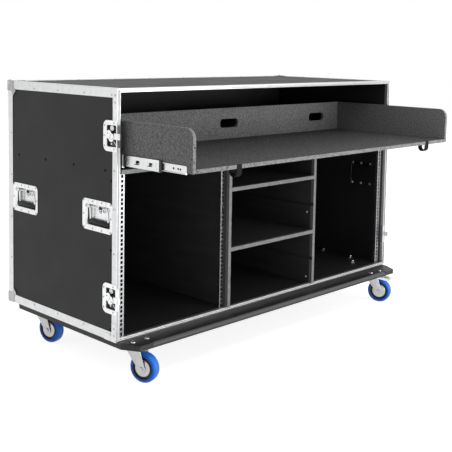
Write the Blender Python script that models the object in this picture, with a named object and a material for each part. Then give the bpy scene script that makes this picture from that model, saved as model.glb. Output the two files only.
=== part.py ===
# Rolling double-bay rack case with a pull-out tray, open at the front.
# Metres, Z up. The case stands on its wheels at Z = 0 and opens toward -Y.
import math

import bmesh
import bpy
from mathutils import Matrix, Vector

for old in list(bpy.data.objects):
    bpy.data.objects.remove(old, do_unlink=True)

# Driving dimensions of the case body
case_width = 1.5185
case_depth = 0.648
case_height = 0.8236
panel = 0.0095
board = 0.0118
fit = 0.0003

# Aluminium edging
angle_wall = 0.0016
angle_leg = 0.030
frame_shoulder = 0.006
frame_web = 0.0015
frame_outer_flange = 0.0297
frame_inner_flange = 0.021
tongue_outer = 0.0045
tongue_inner = 0.0095
brace_leg = 0.062
brace_width = 0.022
plate_wall = 0.0013
ball_leg = 0.046
ball_radius = 0.011
ball_proud = 0.005

# Rack bays: standard rack unit, hole pattern and column spacing
rack_unit = 0.04445
rack_units = 12
rack_columns = 0.4651
rack_hole = 0.0095
rack_hole_first = 0.00635
rack_hole_step = 0.015875
strip_face = 0.0200
strip_side = 0.0250
strip_wall = 0.0020
strip_setback = 0.0234
hole_inset = 0.0098
strip_head_room = 0.0056
batten_wall = 0.0130
batten_depth = 0.050
groove_depth = 0.004
trim_wall = 0.0007
trim_depth = 0.014

# Pull-out tray and its slides, shown partly pulled out
tray_depth = 0.566
tray_floor = 0.013
tray_wall = 0.0125
tray_side_height = 0.1225
tray_corner = 0.033
tray_lift = 0.0203
tray_reach = 0.3034
slide_space = 0.0128
slide_length = 0.500
slide_height = 0.045
slide_middle_height = 0.037
slide_inner_height = 0.026
slide_wall = 0.0015
slide_lip = 0.0090
slide_inner_lip = 0.0060
slide_bumper = 0.0040
slide_setback = 0.012
slide_rise = 0.010
middle_reach = 0.172
inner_reach = 0.279
slot_width = 0.101
slot_height = 0.035
slot_corner = 0.0158
slot_rise = 0.044
slot_spacing = 0.555
loop_width = 0.023
loop_wall = 0.003
loop_span = 0.034
loop_drop = 0.028
loop_left = 0.238
loop_right = 0.1845

# Sprung bail handles, two on each side
handle_length = 0.160
handle_height = 0.104
handle_corner = 0.016
handle_rise = 0.401
recess_length = 0.132
recess_height = 0.068
recess_depth = 0.021
recess_corner = 0.005
dish_wall = 0.0014
hinge_pin = 0.0030
eye_radius = 0.0058
grip_radius = 0.0085
grip_edge = 0.0015
bail_bar = 0.0036
bail_arm = 0.005
arm_inset = 0.010
hinge_drop = 0.0085
spring_wire = 0.0006
spring_curls = 6
spring_pitch = 0.0018
spring_tail = 0.0034
curl_points = 8

# Butterfly latches at the front edge, two on each side
latch_depth = 0.0705
latch_height = 0.100
latch_corner = 0.020
latch_upper_drop = 0.1526
latch_lower_rise = 0.140
cup_front = 0.0083
cup_length = 0.0512
cup_height = 0.072
cup_depth = 0.0104
cup_wall = 0.0012
key_set = 0.0405
key_radius = 0.0213
key_waist = 0.0105
key_lean = 55.0
key_wall = 0.0018
key_hub = 0.0095
key_corner = 0.006
key_points = 24
spindle_radius = 0.004
wing_raise = 0.022
hook_width = 0.020
hook_wall = 0.002
hook_reach = 0.010
hook_travel = 0.005

# Base board and swivel casters
base_board = 0.018
base_inset = 0.005
base_front = 0.070
base_chamfer_side = 0.058
base_chamfer_front = 0.033
base_round = 0.015
base_flat_end = 0.095
caster_inset = 0.085
caster_front = 0.010
caster_rear = 0.543
caster_height = 0.127
mount_plate_x = 0.085
mount_plate_y = 0.105
mount_plate = 0.003
mount_corner = 0.010
race_radius = 0.028
race_taper = 0.0028
race_height = 0.008
kingpin = 0.007
kingpin_nut = 0.011
kingpin_nut_taper = 0.0022
kingpin_nut_height = 0.006
wheel_radius = 0.050
wheel_width = 0.036
hub_width = 0.041
caster_trail = 0.037
fork_wall = 0.003
axle_radius = 0.004
pedal_reach = 0.088
pedal_bend = 0.078
pedal_set = 0.026
pedal_drop = 0.0062
pedal_boss = 0.0040
pedal_pin = 0.0025
crown_front = 0.032
crown_rear = 0.026
fork_boss = 0.013
fork_shoulder = 0.012
fork_taper = 0.004
axle_head = 0.0075
axle_head_height = 0.005
hub_radius = 0.0125
web_inner = 0.0150
web_outer = 0.0330
web_share = 0.62
tyre_inner = 0.0420
tyre_crown = 0.0012
wheel_steps = 24

# How far each caster is swivelled at rest, in degrees
caster_turns = {"left_front": 18.0, "left_rear": 13.0, "right_front": 22.0, "right_rear": 16.0}

# How far a cutter runs past what it cuts
beyond = 0.010

# Places that follow from the sizes above
half_width = case_width / 2
latch_upper_rise = case_height - latch_upper_drop
skin = angle_wall + fit
inner_face = skin + panel
cap = plate_wall + fit
hook_out = cap + fit + hook_wall
centre_x = (hook_out - wing_raise) / 2
base_z = caster_height + base_board + fit
front_y = (tray_reach - case_depth - ball_proud) / 2
panel_front = frame_shoulder + frame_web + fit
floor_top = inner_face
batten_face = inner_face + fit + batten_wall
bay_width = rack_columns + 2 * hole_inset + 2 * fit
divider_inset = batten_face + bay_width
bay_height = rack_units * rack_unit + strip_head_room
deck_under = floor_top + fit + bay_height
deck_top = deck_under + board
compartment = (bay_height - 4 * board) / 5
tray_inset = batten_face + slide_space
tray_under = deck_top + tray_lift
tray_top = tray_under + tray_floor
handle_front = frame_outer_flange + fit + handle_length / 2
handle_rear = case_depth - angle_leg - fit - handle_length / 2
notch_depth = frame_inner_flange + fit
notch_rise = inner_face + fit + frame_web + fit


def across(side, inset):
    """X of a place that lies inset from the outer face of the left (-1) or right (+1) side."""
    return centre_x + side * (half_width - inset)


def back(distance):
    """Y of a place that lies this far behind the front plane of the case."""
    return front_y + distance


def up(height):
    """Z of a place that lies this high above the underside of the case."""
    return base_z + height


def closed(bm):
    """Weld the shape and turn its faces outward."""
    bmesh.ops.remove_doubles(bm, verts=bm.verts, dist=0.000005)
    bmesh.ops.recalc_face_normals(bm, faces=bm.faces)
    return bm


def loft(rings, capped=True):
    """Skin rings of equal point count; capped at both ends, or joined into a loop."""
    bm = bmesh.new()
    rows = [[bm.verts.new(point) for point in ring] for ring in rings]
    pairs = list(zip(rows, rows[1:]))
    if not capped:
        pairs.append((rows[-1], rows[0]))
    for row, following in pairs:
        for i in range(len(row)):
            j = (i + 1) % len(row)
            bm.faces.new((row[i], row[j], following[j], following[i]))
    if capped:
        bm.faces.new(rows[0])
        bm.faces.new(rows[-1])
    return closed(bm)


def box(x_range, y_range, z_range):
    """A block between two values on each axis, given in any order."""
    x0, x1 = sorted(x_range)
    y0, y1 = sorted(y_range)
    z0, z1 = sorted(z_range)
    ring = [(x0, y0), (x1, y0), (x1, y1), (x0, y1)]
    return loft([[(x, y, z) for x, y in ring] for z in (z0, z1)])


def on_axis(axis, along, a, b):
    """A point from its place along one axis and its two other coordinates, in X, Y, Z order."""
    point = [a, b]
    point.insert("XYZ".index(axis), along)
    return tuple(point)


def prism(outline, axis, start, end):
    """An outline of the two other coordinates, pushed along an axis."""
    return loft([[on_axis(axis, along, a, b) for a, b in outline] for along in (start, end)])


def arc(centre, radius, start, end, steps):
    """Points of an arc, both ends included, in degrees."""
    points = []
    for i in range(steps + 1):
        angle = math.radians(start + (end - start) * i / steps)
        points.append((centre[0] + radius * math.cos(angle), centre[1] + radius * math.sin(angle)))
    return points


def rounded(centre, width, height, radius, steps=3):
    """The outline of a rectangle with round corners."""
    points = []
    corners = ((1, 1, 0), (-1, 1, 90), (-1, -1, 180), (1, -1, 270))
    for sx, sy, start in corners:
        middle = (centre[0] + sx * (width / 2 - radius), centre[1] + sy * (height / 2 - radius))
        points += arc(middle, radius, start, start + 90, steps)
    return points


def circle(axis, along, centre, radius, steps):
    """A ring of points round an axis."""
    ring = []
    for i in range(steps):
        angle = 2 * math.pi * (i + 0.5) / steps
        a = centre[0] + radius * math.cos(angle)
        b = centre[1] + radius * math.sin(angle)
        ring.append(on_axis(axis, along, a, b))
    return ring


def turned(axis, centre, profile, steps=12, bore=False):
    """A turned piece: its profile lists (place along the axis, radius)."""
    rings = [circle(axis, along, centre, radius, steps) for along, radius in profile]
    return loft(rings, capped=not bore)


def as_object(bm):
    """Put a shape in the scene as a helper object."""
    mesh = bpy.data.meshes.new("helper")
    bm.to_mesh(mesh)
    bm.free()
    helper = bpy.data.objects.new("helper", mesh)
    bpy.context.scene.collection.objects.link(helper)
    return helper


def boolean(shape, tools, operation):
    """Cut shapes from a shape, or join them to it, and return the result."""
    body = as_object(shape)
    helpers = [as_object(tool) for tool in tools]
    for helper in helpers:
        modifier = body.modifiers.new("cut", 'BOOLEAN')
        modifier.operation = operation
        modifier.solver = 'EXACT'
        modifier.object = helper
    evaluated = body.evaluated_get(bpy.context.evaluated_depsgraph_get())
    result = bmesh.new()
    result.from_mesh(evaluated.to_mesh())
    evaluated.to_mesh_clear()
    for helper in [body] + helpers:
        mesh = helper.data
        bpy.data.objects.remove(helper, do_unlink=True)
        bpy.data.meshes.remove(mesh)
    return closed(result)


def cut(shape, tools):
    return boolean(shape, tools, 'DIFFERENCE')


def fuse(shape, tools):
    return boolean(shape, tools, 'UNION')


def finish(name, colour, roughness, metallic):
    """A plain finish, made once and shared by the nodes that have it."""
    if name in bpy.data.materials:
        return bpy.data.materials[name]
    material = bpy.data.materials.new(name)
    material.use_nodes = True
    shader = material.node_tree.nodes["Principled BSDF"]
    shader.inputs["Base Color"].default_value = (*colour, 1.0)
    shader.inputs["Roughness"].default_value = roughness
    shader.inputs["Metallic"].default_value = metallic
    return material


laminate = finish("black_laminate", (0.030, 0.030, 0.032), 0.55, 0.0)
carpet_grey = finish("speckled_grey", (0.090, 0.092, 0.096), 0.75, 0.0)
inner_black = finish("inner_black", (0.010, 0.010, 0.011), 0.60, 0.0)
trim_grey = finish("grey_trim", (0.420, 0.420, 0.430), 0.45, 0.0)
aluminium = finish("aluminium", (0.820, 0.825, 0.835), 0.32, 1.0)
zinc = finish("zinc_plate", (0.700, 0.705, 0.715), 0.30, 1.0)
steel = finish("steel", (0.560, 0.565, 0.575), 0.30, 1.0)
board_black = finish("base_black", (0.020, 0.020, 0.021), 0.35, 0.0)
blue_tyre = finish("blue_elastic", (0.000, 0.130, 0.800), 0.40, 0.0)


def node(name, shape, material, origin=(0.0, 0.0, 0.0), smooth=False):
    """Make one named object of one closed solid, with its origin at the given place."""
    bmesh.ops.translate(shape, verts=shape.verts, vec=-Vector(origin))
    mesh = bpy.data.meshes.new(name)
    shape.to_mesh(mesh)
    shape.free()
    if smooth:
        mesh.shade_smooth()
        mesh.set_sharp_from_angle(angle=math.radians(35))
    mesh.materials.append(material)
    piece = bpy.data.objects.new(name, mesh)
    piece.location = origin
    bpy.context.scene.collection.objects.link(piece)
    return piece


def side_name(side):
    return "left" if side < 0 else "right"


def joined(shapes):
    """Several shapes that don't touch, as one cutter."""
    whole = bmesh.new()
    for shape in shapes:
        mesh = bpy.data.meshes.new("piece")
        shape.to_mesh(mesh)
        shape.free()
        whole.from_mesh(mesh)
        bpy.data.meshes.remove(mesh)
    return whole


# Places of the handles and latches on each side
handle_places = [("front", handle_front), ("rear", handle_rear)]
latch_places = [("upper", latch_upper_rise), ("lower", latch_lower_rise)]
tub_length = recess_length + 2 * dish_wall
tub_height = recess_height + 2 * dish_wall
plate_outer = skin - fit - dish_wall
tub_back = plate_outer + recess_depth + dish_wall
cup_back = cup_front + cup_length
cup_floor = -cap + cup_depth


def tub_hole(side, place, margin, through):
    """The block that a handle's tub takes out of what it passes through."""
    return box((across(side, -beyond), across(side, through)),
               (back(place - tub_length / 2 - margin), back(place + tub_length / 2 + margin)),
               (up(handle_rise - tub_height / 2 - margin), up(handle_rise + tub_height / 2 + margin)))


def cup_hole(side, rise, margin, through):
    """The block that a latch's cup takes out of what it passes through."""
    return box((across(side, -beyond), across(side, through)),
               (back(cup_front - margin), back(cup_back + margin)),
               (up(rise - cup_height / 2 - margin), up(rise + cup_height / 2 + margin)))


# Outer panels of laminated plywood; the side panels carry glued packing battens inside,
# one behind each outer rack strip and one under each tray slide
tray_batten_top = tray_under + slide_rise + slide_height / 2 + board / 2
for side in (-1, 1):
    sheet = box((across(side, skin), across(side, inner_face)),
                (back(panel_front), back(case_depth - skin)),
                (up(skin), up(case_height - skin)))
    strip_batten = box((across(side, inner_face - fit), across(side, batten_face)),
                       (back(strip_setback), back(strip_setback + batten_depth)),
                       (up(floor_top + fit), up(deck_under - fit)))
    slide_batten = box((across(side, inner_face - fit), across(side, batten_face)),
                       (back(notch_depth), back(slide_setback + slide_length)),
                       (up(deck_top + fit), up(tray_batten_top)))
    holes = [tub_hole(side, place, fit, batten_face + panel) for _, place in handle_places]
    holes += [cup_hole(side, rise, fit, inner_face - fit) for _, rise in latch_places]
    node(f"side_panel_{side_name(side)}",
         cut(fuse(sheet, [strip_batten, slide_batten]), holes), laminate)

between_sides = (across(-1, inner_face + fit), across(1, inner_face + fit))
panel_depth = (back(panel_front), back(case_depth - skin))
node("floor_panel", box(between_sides, panel_depth, (up(skin), up(floor_top))), laminate)
node("top_panel", box(between_sides, panel_depth,
                      (up(case_height - inner_face), up(case_height - skin))), laminate)
node("back_panel", box(between_sides, (back(case_depth - inner_face), back(case_depth - skin)),
                       (up(floor_top + fit), up(case_height - inner_face - fit))), laminate)


# Front frame: one extrusion, mitred and welded at the corners, that grips the panels' front
# edges, with an L-shaped brace riveted over each corner of the sides
frame_profile = [
    (0.0, frame_shoulder), (0.0, frame_outer_flange), (angle_wall, frame_outer_flange),
    (angle_wall, frame_shoulder + frame_web), (inner_face + fit, frame_shoulder + frame_web),
    (inner_face + fit, frame_inner_flange), (inner_face + fit + frame_web, frame_inner_flange),
    (inner_face + fit + frame_web, frame_shoulder), (tongue_inner, frame_shoulder),
    (tongue_inner, 0.0), (tongue_outer, 0.0), (tongue_outer, frame_shoulder),
]


def frame_corner(side, level):
    """The mitre at one corner: level is -1 for the bottom, +1 for the top."""
    edge_z = 0.0 if level < 0 else case_height
    return [(across(side, inset), back(depth), up(edge_z - level * inset))
            for inset, depth in frame_profile]


frame = loft([frame_corner(*corner) for corner in ((-1, -1), (1, -1), (1, 1), (-1, 1))],
             capped=False)
notches = [box((across(side, -beyond), across(side, inner_face)),
               (back(frame_shoulder + frame_web), back(frame_outer_flange + fit)),
               (up(rise - cup_height / 2 - fit), up(rise + cup_height / 2 + fit)))
           for side in (-1, 1) for _, rise in latch_places]
frame = cut(frame, [joined(notches)])
braces = []
for side in (-1, 1):
    for level in (-1, 1):
        edge_z = 0.0 if level < 0 else case_height
        flat = [(back(frame_shoulder), up(edge_z)),
                (back(frame_shoulder + brace_leg), up(edge_z)),
                (back(frame_shoulder + brace_leg), up(edge_z - level * brace_width)),
                (back(frame_shoulder + brace_width), up(edge_z - level * brace_width)),
                (back(frame_shoulder + brace_width), up(edge_z - level * brace_leg)),
                (back(frame_shoulder), up(edge_z - level * brace_leg))]
        braces.append(prism(flat, "X", across(side, -fit), across(side, -cap)))
        seat = box((across(side, angle_wall / 2), across(side, -cap / 2)),
                   (back(frame_shoulder + fit), back(frame_outer_flange - fit)),
                   (up(edge_z - level * fit), up(edge_z - level * (brace_leg - fit))))
        braces.append(seat)
node("front_frame", fuse(frame, braces), aluminium)

# Edge frame: angles on the eight other edges, with a ball corner at each rear corner
leg = angle_leg
edging = box((across(-1, 0.0), across(1, 0.0)), (back(frame_outer_flange + fit), back(case_depth)),
             (up(0.0), up(case_height)))
hollow = box((across(-1, angle_wall), across(1, angle_wall)),
             (back(0.0), back(case_depth - angle_wall)), (up(angle_wall), up(case_height - angle_wall)))
windows = [
    box((across(-1, -beyond), across(1, -beyond)), (back(0.0), back(case_depth - leg)),
        (up(leg), up(case_height - leg))),
    box((across(-1, leg), across(1, leg)), (back(0.0), back(case_depth - leg)),
        (up(-beyond), up(case_height + beyond))),
    box((across(-1, leg), across(1, leg)), (back(case_depth / 2), back(case_depth + beyond)),
        (up(leg), up(case_height - leg))),
]
edging = cut(edging, [hollow] + windows)
ball_sink = ball_radius - ball_proud
inner_block = box((across(-1, angle_wall / 2), across(1, angle_wall / 2)),
                  (back(panel_front), back(case_depth - angle_wall / 2)),
                  (up(angle_wall / 2), up(case_height - angle_wall / 2)))
ball_corners = []
for side in (-1, 1):
    for level in (-1, 1):
        edge_z = 0.0 if level < 0 else case_height
        shell_end = 0.0 if level < 0 else case_height + plate_wall
        shell = box((across(side, -plate_wall), across(side, ball_leg)),
                    (back(case_depth - ball_leg), back(case_depth + plate_wall)),
                    (up(shell_end), up(edge_z - level * ball_leg)))
        centre = (across(side, ball_sink), back(case_depth - ball_sink),
                  up(edge_z - level * ball_sink))
        ball = bmesh.new()
        bmesh.ops.create_icosphere(ball, subdivisions=2, radius=ball_radius)
        bmesh.ops.translate(ball, verts=ball.verts, vec=centre)
        ball_corners.append(fuse(shell, [ball]))
ball_corners = cut(joined(ball_corners), [inner_block])
node("edge_frame", fuse(edging, [ball_corners]), aluminium)

# Dividers, deck and shelves of board, with grooves for the shelves
level_rises = [floor_top + fit + k * compartment + (k - 1) * board for k in (1, 2, 3, 4)]
board_front = trim_wall + fit
trim_out = fit + trim_wall
board_back = case_depth - inner_face - fit
divider_bottom = floor_top + fit
divider_top = deck_under - fit


def groove(side, rise, front, rear, depth, extra=0.0):
    """The slot for a shelf's end in the middle face of a divider."""
    face = divider_inset + board
    return box((across(side, face + extra), across(side, face - depth)),
               (back(front), back(rear)),
               (up(rise - fit), up(rise + board + fit)))


for side in (-1, 1):
    sheet = box((across(side, divider_inset), across(side, divider_inset + board)),
                (back(board_front), back(board_back)), (up(divider_bottom), up(divider_top)))
    cuts = [groove(side, rise, -beyond, case_depth, groove_depth, beyond) for rise in level_rises]
    cuts.append(box((across(side, divider_inset - board), across(side, divider_inset + 2 * board)),
                    (back(-beyond), back(notch_depth)), (up(0.0), up(notch_rise))))
    cuts.append(box((across(side, divider_inset - board), across(side, divider_inset + 2 * board)),
                    (back(-beyond), back(trim_depth + fit)),
                    (up(deck_under - trim_out - fit), up(deck_top))))
    node(f"divider_{side_name(side)}", cut(sheet, cuts), inner_black)

deck_notches = [box((across(side, 0.0), across(side, notch_rise)),
                    (back(-beyond), back(notch_depth)),
                    (up(deck_under - beyond), up(deck_top + beyond))) for side in (-1, 1)]
deck = box(between_sides, (back(board_front), back(board_back)), (up(deck_under), up(deck_top)))
node("crossboard", cut(deck, deck_notches), inner_black)

shelf_inset = divider_inset + board - groove_depth + fit
for name, rise in (("shelf_lower", level_rises[1]), ("shelf_upper", level_rises[3])):
    sheet = box((across(-1, shelf_inset), across(1, shelf_inset)),
                (back(board_front), back(board_back)), (up(rise), up(rise + board)))
    node(name, sheet, inner_black)

# Grey edge trims: channels pressed over the boards' front edges and glued where they meet
channels = []
board_slots = []
trim_range = (back(0.0), back(trim_depth))
slot_range = (back(trim_wall), back(trim_depth + beyond))
trim_ends = (across(-1, notch_rise + fit), across(1, notch_rise + fit))
deck_channel = box(trim_ends, trim_range, (up(deck_under - trim_out), up(deck_top + trim_out)))
board_slots.append(box((trim_ends[0] - beyond, trim_ends[1] + beyond), slot_range,
                       (up(deck_under - fit), up(deck_top + fit))))
for side in (-1, 1):
    channels.append(box((across(side, divider_inset - trim_out),
                         across(side, divider_inset + board + trim_out)), trim_range,
                        (up(notch_rise), up(deck_under + board / 2))))
    board_slots.append(box((across(side, divider_inset - fit),
                            across(side, divider_inset + board + fit)), slot_range,
                           (up(notch_rise - beyond), up(deck_under - trim_out))))
    board_slots += [groove(side, rise, -beyond, trim_depth + beyond, 0.0, beyond)
                    for rise in (level_rises[0], level_rises[2])]
for rise in (level_rises[1], level_rises[3]):
    channels.append(box((across(-1, divider_inset + board / 2), across(1, divider_inset + board / 2)),
                        trim_range, (up(rise - trim_out), up(rise + board + trim_out))))
    board_slots.append(box((across(-1, divider_inset + board / 2),
                            across(1, divider_inset + board / 2)), slot_range,
                           (up(rise - fit), up(rise + board + fit))))
node("board_trims", cut(fuse(deck_channel, channels), board_slots), trim_grey)

# Rack strips: steel angles with square holes in groups of three to each rack unit
strip_bottom = floor_top + 2 * fit
strip_top = strip_bottom + rack_units * rack_unit
hole_rises = [strip_bottom + unit * rack_unit + rack_hole_first + hole * rack_hole_step
              for unit in range(rack_units) for hole in range(3)]
for side in (-1, 1):
    for column, wall, way in (("outer", batten_face + fit, 1), ("inner", divider_inset - fit, -1)):
        outline = [(across(side, wall), back(strip_setback)),
                   (across(side, wall + way * strip_face), back(strip_setback)),
                   (across(side, wall + way * strip_face), back(strip_setback + strip_wall)),
                   (across(side, wall + way * strip_wall), back(strip_setback + strip_wall)),
                   (across(side, wall + way * strip_wall), back(strip_setback + strip_side)),
                   (across(side, wall), back(strip_setback + strip_side))]
        strip = prism(outline, "Z", up(strip_bottom), up(strip_top))
        hole_x = wall + way * hole_inset
        punches = [box((across(side, hole_x - rack_hole / 2), across(side, hole_x + rack_hole / 2)),
                       (back(strip_setback - strip_wall), back(strip_setback + 2 * strip_wall)),
                       (up(rise - rack_hole / 2), up(rise + rack_hole / 2)))
                   for rise in hole_rises]
        node(f"rack_strip_{side_name(side)}_{column}", cut(strip, [joined(punches)]), steel)

# Pull-out tray
tray_front = -tray_reach
tray_back = tray_front + tray_depth
loop_places = [across(-1, loop_left), across(1, loop_right)]
floor_board = box((across(-1, tray_inset), across(1, tray_inset)),
                  (back(tray_front), back(tray_back)), (up(tray_under), up(tray_top)))
loop_notches = [box((x - loop_width / 2 - fit, x + loop_width / 2 + fit),
                    (back(tray_front - beyond), back(tray_front + loop_wall + fit)),
                    (up(tray_under - beyond), up(tray_top + beyond))) for x in loop_places]
floor_board = cut(floor_board, loop_notches)

wall_bottom = tray_top + fit
wall_top = wall_bottom + tray_side_height
side_walls = []
for side in (-1, 1):
    outline = [(back(tray_front), up(wall_bottom)), (back(tray_back), up(wall_bottom)),
               (back(tray_back), up(wall_top))]
    corner = (back(tray_front + tray_corner), up(wall_top - tray_corner))
    outline += arc(corner, tray_corner, 90, 180, 6)
    side_walls.append(prism(outline, "X", across(side, tray_inset),
                            across(side, tray_inset + tray_wall)))

rear_wall = box((across(-1, tray_inset + tray_wall / 2), across(1, tray_inset + tray_wall / 2)),
                (back(tray_back - tray_wall), back(tray_back)), (up(wall_bottom), up(wall_top)))
slots = []
for step in (-1, 0, 1):
    middle = (centre_x + step * slot_spacing, up(wall_bottom + slot_rise + slot_height / 2))
    outline = rounded(middle, slot_width, slot_height, slot_corner, 4)
    slots.append(prism(outline, "Y", back(tray_back - tray_wall - beyond), back(tray_back + beyond)))
node("tray_walls", cut(fuse(rear_wall, side_walls), [joined(slots)]), carpet_grey)

loops = []
for x in loop_places:
    front_leg = back(tray_front)
    centre = (front_leg + loop_span / 2, up(tray_under - loop_drop) + loop_span / 2)
    outline = [(front_leg, up(tray_top) - loop_wall / 2)]
    outline += arc(centre, loop_span / 2, 180, 360, 10)
    outline += [(front_leg + loop_span, up(tray_under) + loop_wall / 2),
                (front_leg + loop_span - loop_wall, up(tray_under) + loop_wall / 2)]
    outline += arc(centre, loop_span / 2 - loop_wall, 360, 180, 10)
    outline += [(front_leg + loop_wall, up(tray_top) - loop_wall / 2)]
    loops.append(prism(outline, "X", x - loop_width / 2, x + loop_width / 2))
node("tray_floor", fuse(floor_board, loops), carpet_grey)

# Telescopic slides: outer members on the battens, inner members on the tray's sides
slide_z = tray_under + slide_rise
outer_web = batten_face + fit
middle_web = outer_web + slide_wall + 2 * fit
inner_web = tray_inset - fit


def slide_member(side, web, way, height, front, lip):
    """One rolled member: its web stands at an inset and its lips run the given way."""
    half = height / 2
    ring = [(web, -half), (web + way * lip, -half), (web + way * lip, -half + slide_wall),
            (web + way * slide_wall, -half + slide_wall), (web + way * slide_wall, half - slide_wall),
            (web + way * lip, half - slide_wall), (web + way * lip, half), (web, half)]
    outline = [(across(side, inset), up(slide_z + rise)) for inset, rise in ring]
    return prism(outline, "Y", back(front), back(front + slide_length))


for side in (-1, 1):
    outer = slide_member(side, outer_web, 1, slide_height, slide_setback, slide_lip)
    middle = slide_member(side, middle_web, 1, slide_middle_height, -middle_reach, slide_lip)
    inner = slide_member(side, inner_web, -1, slide_inner_height, -inner_reach, slide_inner_lip)
    bumper = box((across(side, middle_web + slide_wall / 2), across(side, middle_web + slide_bumper)),
                 (back(-middle_reach), back(-middle_reach + slide_lip)),
                 (up(slide_z - slide_middle_height / 2 + slide_wall / 2),
                  up(slide_z + slide_middle_height / 2 - slide_wall / 2)))
    node(f"slide_outer_{side_name(side)}", outer, zinc)
    node(f"slide_middle_{side_name(side)}", fuse(middle, [bumper]), zinc)
    node(f"slide_inner_{side_name(side)}", inner, zinc)

# Bail handles: pressed dish, hinge pin, wire bail with a rubber grip, and its spring
hinge_inset = plate_outer + dish_wall + eye_radius + fit
hinge_z = up(handle_rise + recess_height / 2 - hinge_drop)
bar_inset = plate_outer + dish_wall + grip_radius + 4 * fit
bar_z = up(handle_rise - recess_height / 2 + grip_radius + dish_wall)
arm_reach = recess_length / 2 - arm_inset


def handle_dish(side, place):
    """The dish: a flat plate with a tub, and the hinge pin across the tub's top."""
    centre = (back(place), up(handle_rise))
    plate = prism(rounded(centre, handle_length, handle_height, handle_corner, 3), "X",
                  across(side, plate_outer), across(side, plate_outer + dish_wall))
    tub = prism(rounded(centre, tub_length, tub_height, recess_corner + dish_wall, 2), "X",
                across(side, plate_outer + dish_wall / 2), across(side, tub_back))
    hollow = prism(rounded(centre, recess_length, recess_height, recess_corner, 2), "X",
                   across(side, -beyond), across(side, tub_back - dish_wall))
    dish = cut(fuse(plate, [tub]), [hollow])
    pin_ends = [(back(place - recess_length / 2 - dish_wall / 2), hinge_pin),
                (back(place + recess_length / 2 + dish_wall / 2), hinge_pin)]
    return fuse(dish, [turned("Y", (across(side, hinge_inset), hinge_z), pin_ends, steps=10)])


def handle_bail(side, place):
    """The bail: two flat arms with eyes on the pin, joined by the bar inside the grip."""
    eye = (across(side, hinge_inset), hinge_z)
    foot = (across(side, bar_inset), bar_z)
    arms = []
    for way in (-1, 1):
        outline = arc(eye, eye_radius, 0, 180, 6)
        outline += arc(foot, bail_bar, 180, 360, 4)
        ends = (back(place + way * arm_reach), back(place + way * (arm_reach - bail_arm)))
        arm = prism(outline, "Y", *ends)
        bore_ends = [(ends[0] + way * beyond, hinge_pin + fit), (ends[1] - way * beyond, hinge_pin + fit)]
        arms.append(cut(arm, [turned("Y", eye, bore_ends, steps=10)]))
    half = arm_reach - bail_arm / 2
    bar = turned("Y", foot, [(back(place - half), bail_bar), (back(place + half), bail_bar)],
                 steps=10)
    return fuse(arms[0], [arms[1], bar])


def handle_grip(side, place):
    """The rubber sleeve moulded round the bail's bar."""
    half = arm_reach - bail_arm - 4 * fit
    profile = [(back(place - half), grip_radius - grip_edge),
               (back(place - half + grip_edge), grip_radius),
               (back(place + half - grip_edge), grip_radius),
               (back(place + half), grip_radius - grip_edge)]
    return turned("Y", (across(side, bar_inset), bar_z), profile, steps=12)


def handle_spring(side, place):
    """A torsion spring: one unbroken wire wound on the pin beside the front eye."""
    coil = hinge_pin + fit + spring_wire
    start = back(place - arm_reach + bail_arm) + 3 * spring_wire
    count = spring_curls * curl_points
    points = []
    for i in range(count + 1):
        angle = 2 * math.pi * i / curl_points
        points.append(Vector((across(side, hinge_inset) + coil * math.cos(angle),
                              start + spring_pitch * i / curl_points,
                              hinge_z + coil * math.sin(angle))))
    points.insert(0, points[0] - Vector((0.0, 0.0, spring_tail)))
    points.append(points[-1] + Vector((0.0, 0.0, hinge_drop)))
    curve = bpy.data.curves.new("spring_curve", 'CURVE')
    curve.dimensions = '3D'
    curve.bevel_depth = spring_wire
    curve.bevel_resolution = 1
    curve.use_fill_caps = True
    spline = curve.splines.new('POLY')
    spline.points.add(len(points) - 1)
    for spline_point, point in zip(spline.points, points):
        spline_point.co = (*point, 1.0)
    helper = bpy.data.objects.new("spring_helper", curve)
    bpy.context.scene.collection.objects.link(helper)
    evaluated = helper.evaluated_get(bpy.context.evaluated_depsgraph_get())
    shape = bmesh.new()
    shape.from_mesh(evaluated.to_mesh())
    evaluated.to_mesh_clear()
    bpy.data.objects.remove(helper, do_unlink=True)
    bpy.data.curves.remove(curve)
    return closed(shape), points


def least_gap(points):
    """The least distance between a spring's own curls, less the wire."""
    least = spring_pitch
    for i, one in enumerate(points):
        for other in points[i + curl_points - 1:]:
            least = min(least, (one - other).length)
    return least - 2 * spring_wire


for side in (-1, 1):
    for where, place in handle_places:
        tag = f"{side_name(side)}_{where}"
        pivot = (across(side, hinge_inset), back(place), hinge_z)
        spring, route = handle_spring(side, place)
        node(f"handle_dish_{tag}", fuse(handle_dish(side, place), [spring]), zinc, smooth=True)
        bail = fuse(handle_bail(side, place), [handle_grip(side, place)])
        node(f"handle_bail_{tag}", bail, zinc, pivot, smooth=True)
print(f"least gap of a handle spring to itself: {least_gap(route) * 1000:.2f} mm")

# Butterfly latches: cupped plate, turning key and the hook that it drives
key_inset = cup_floor - cup_wall


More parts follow.
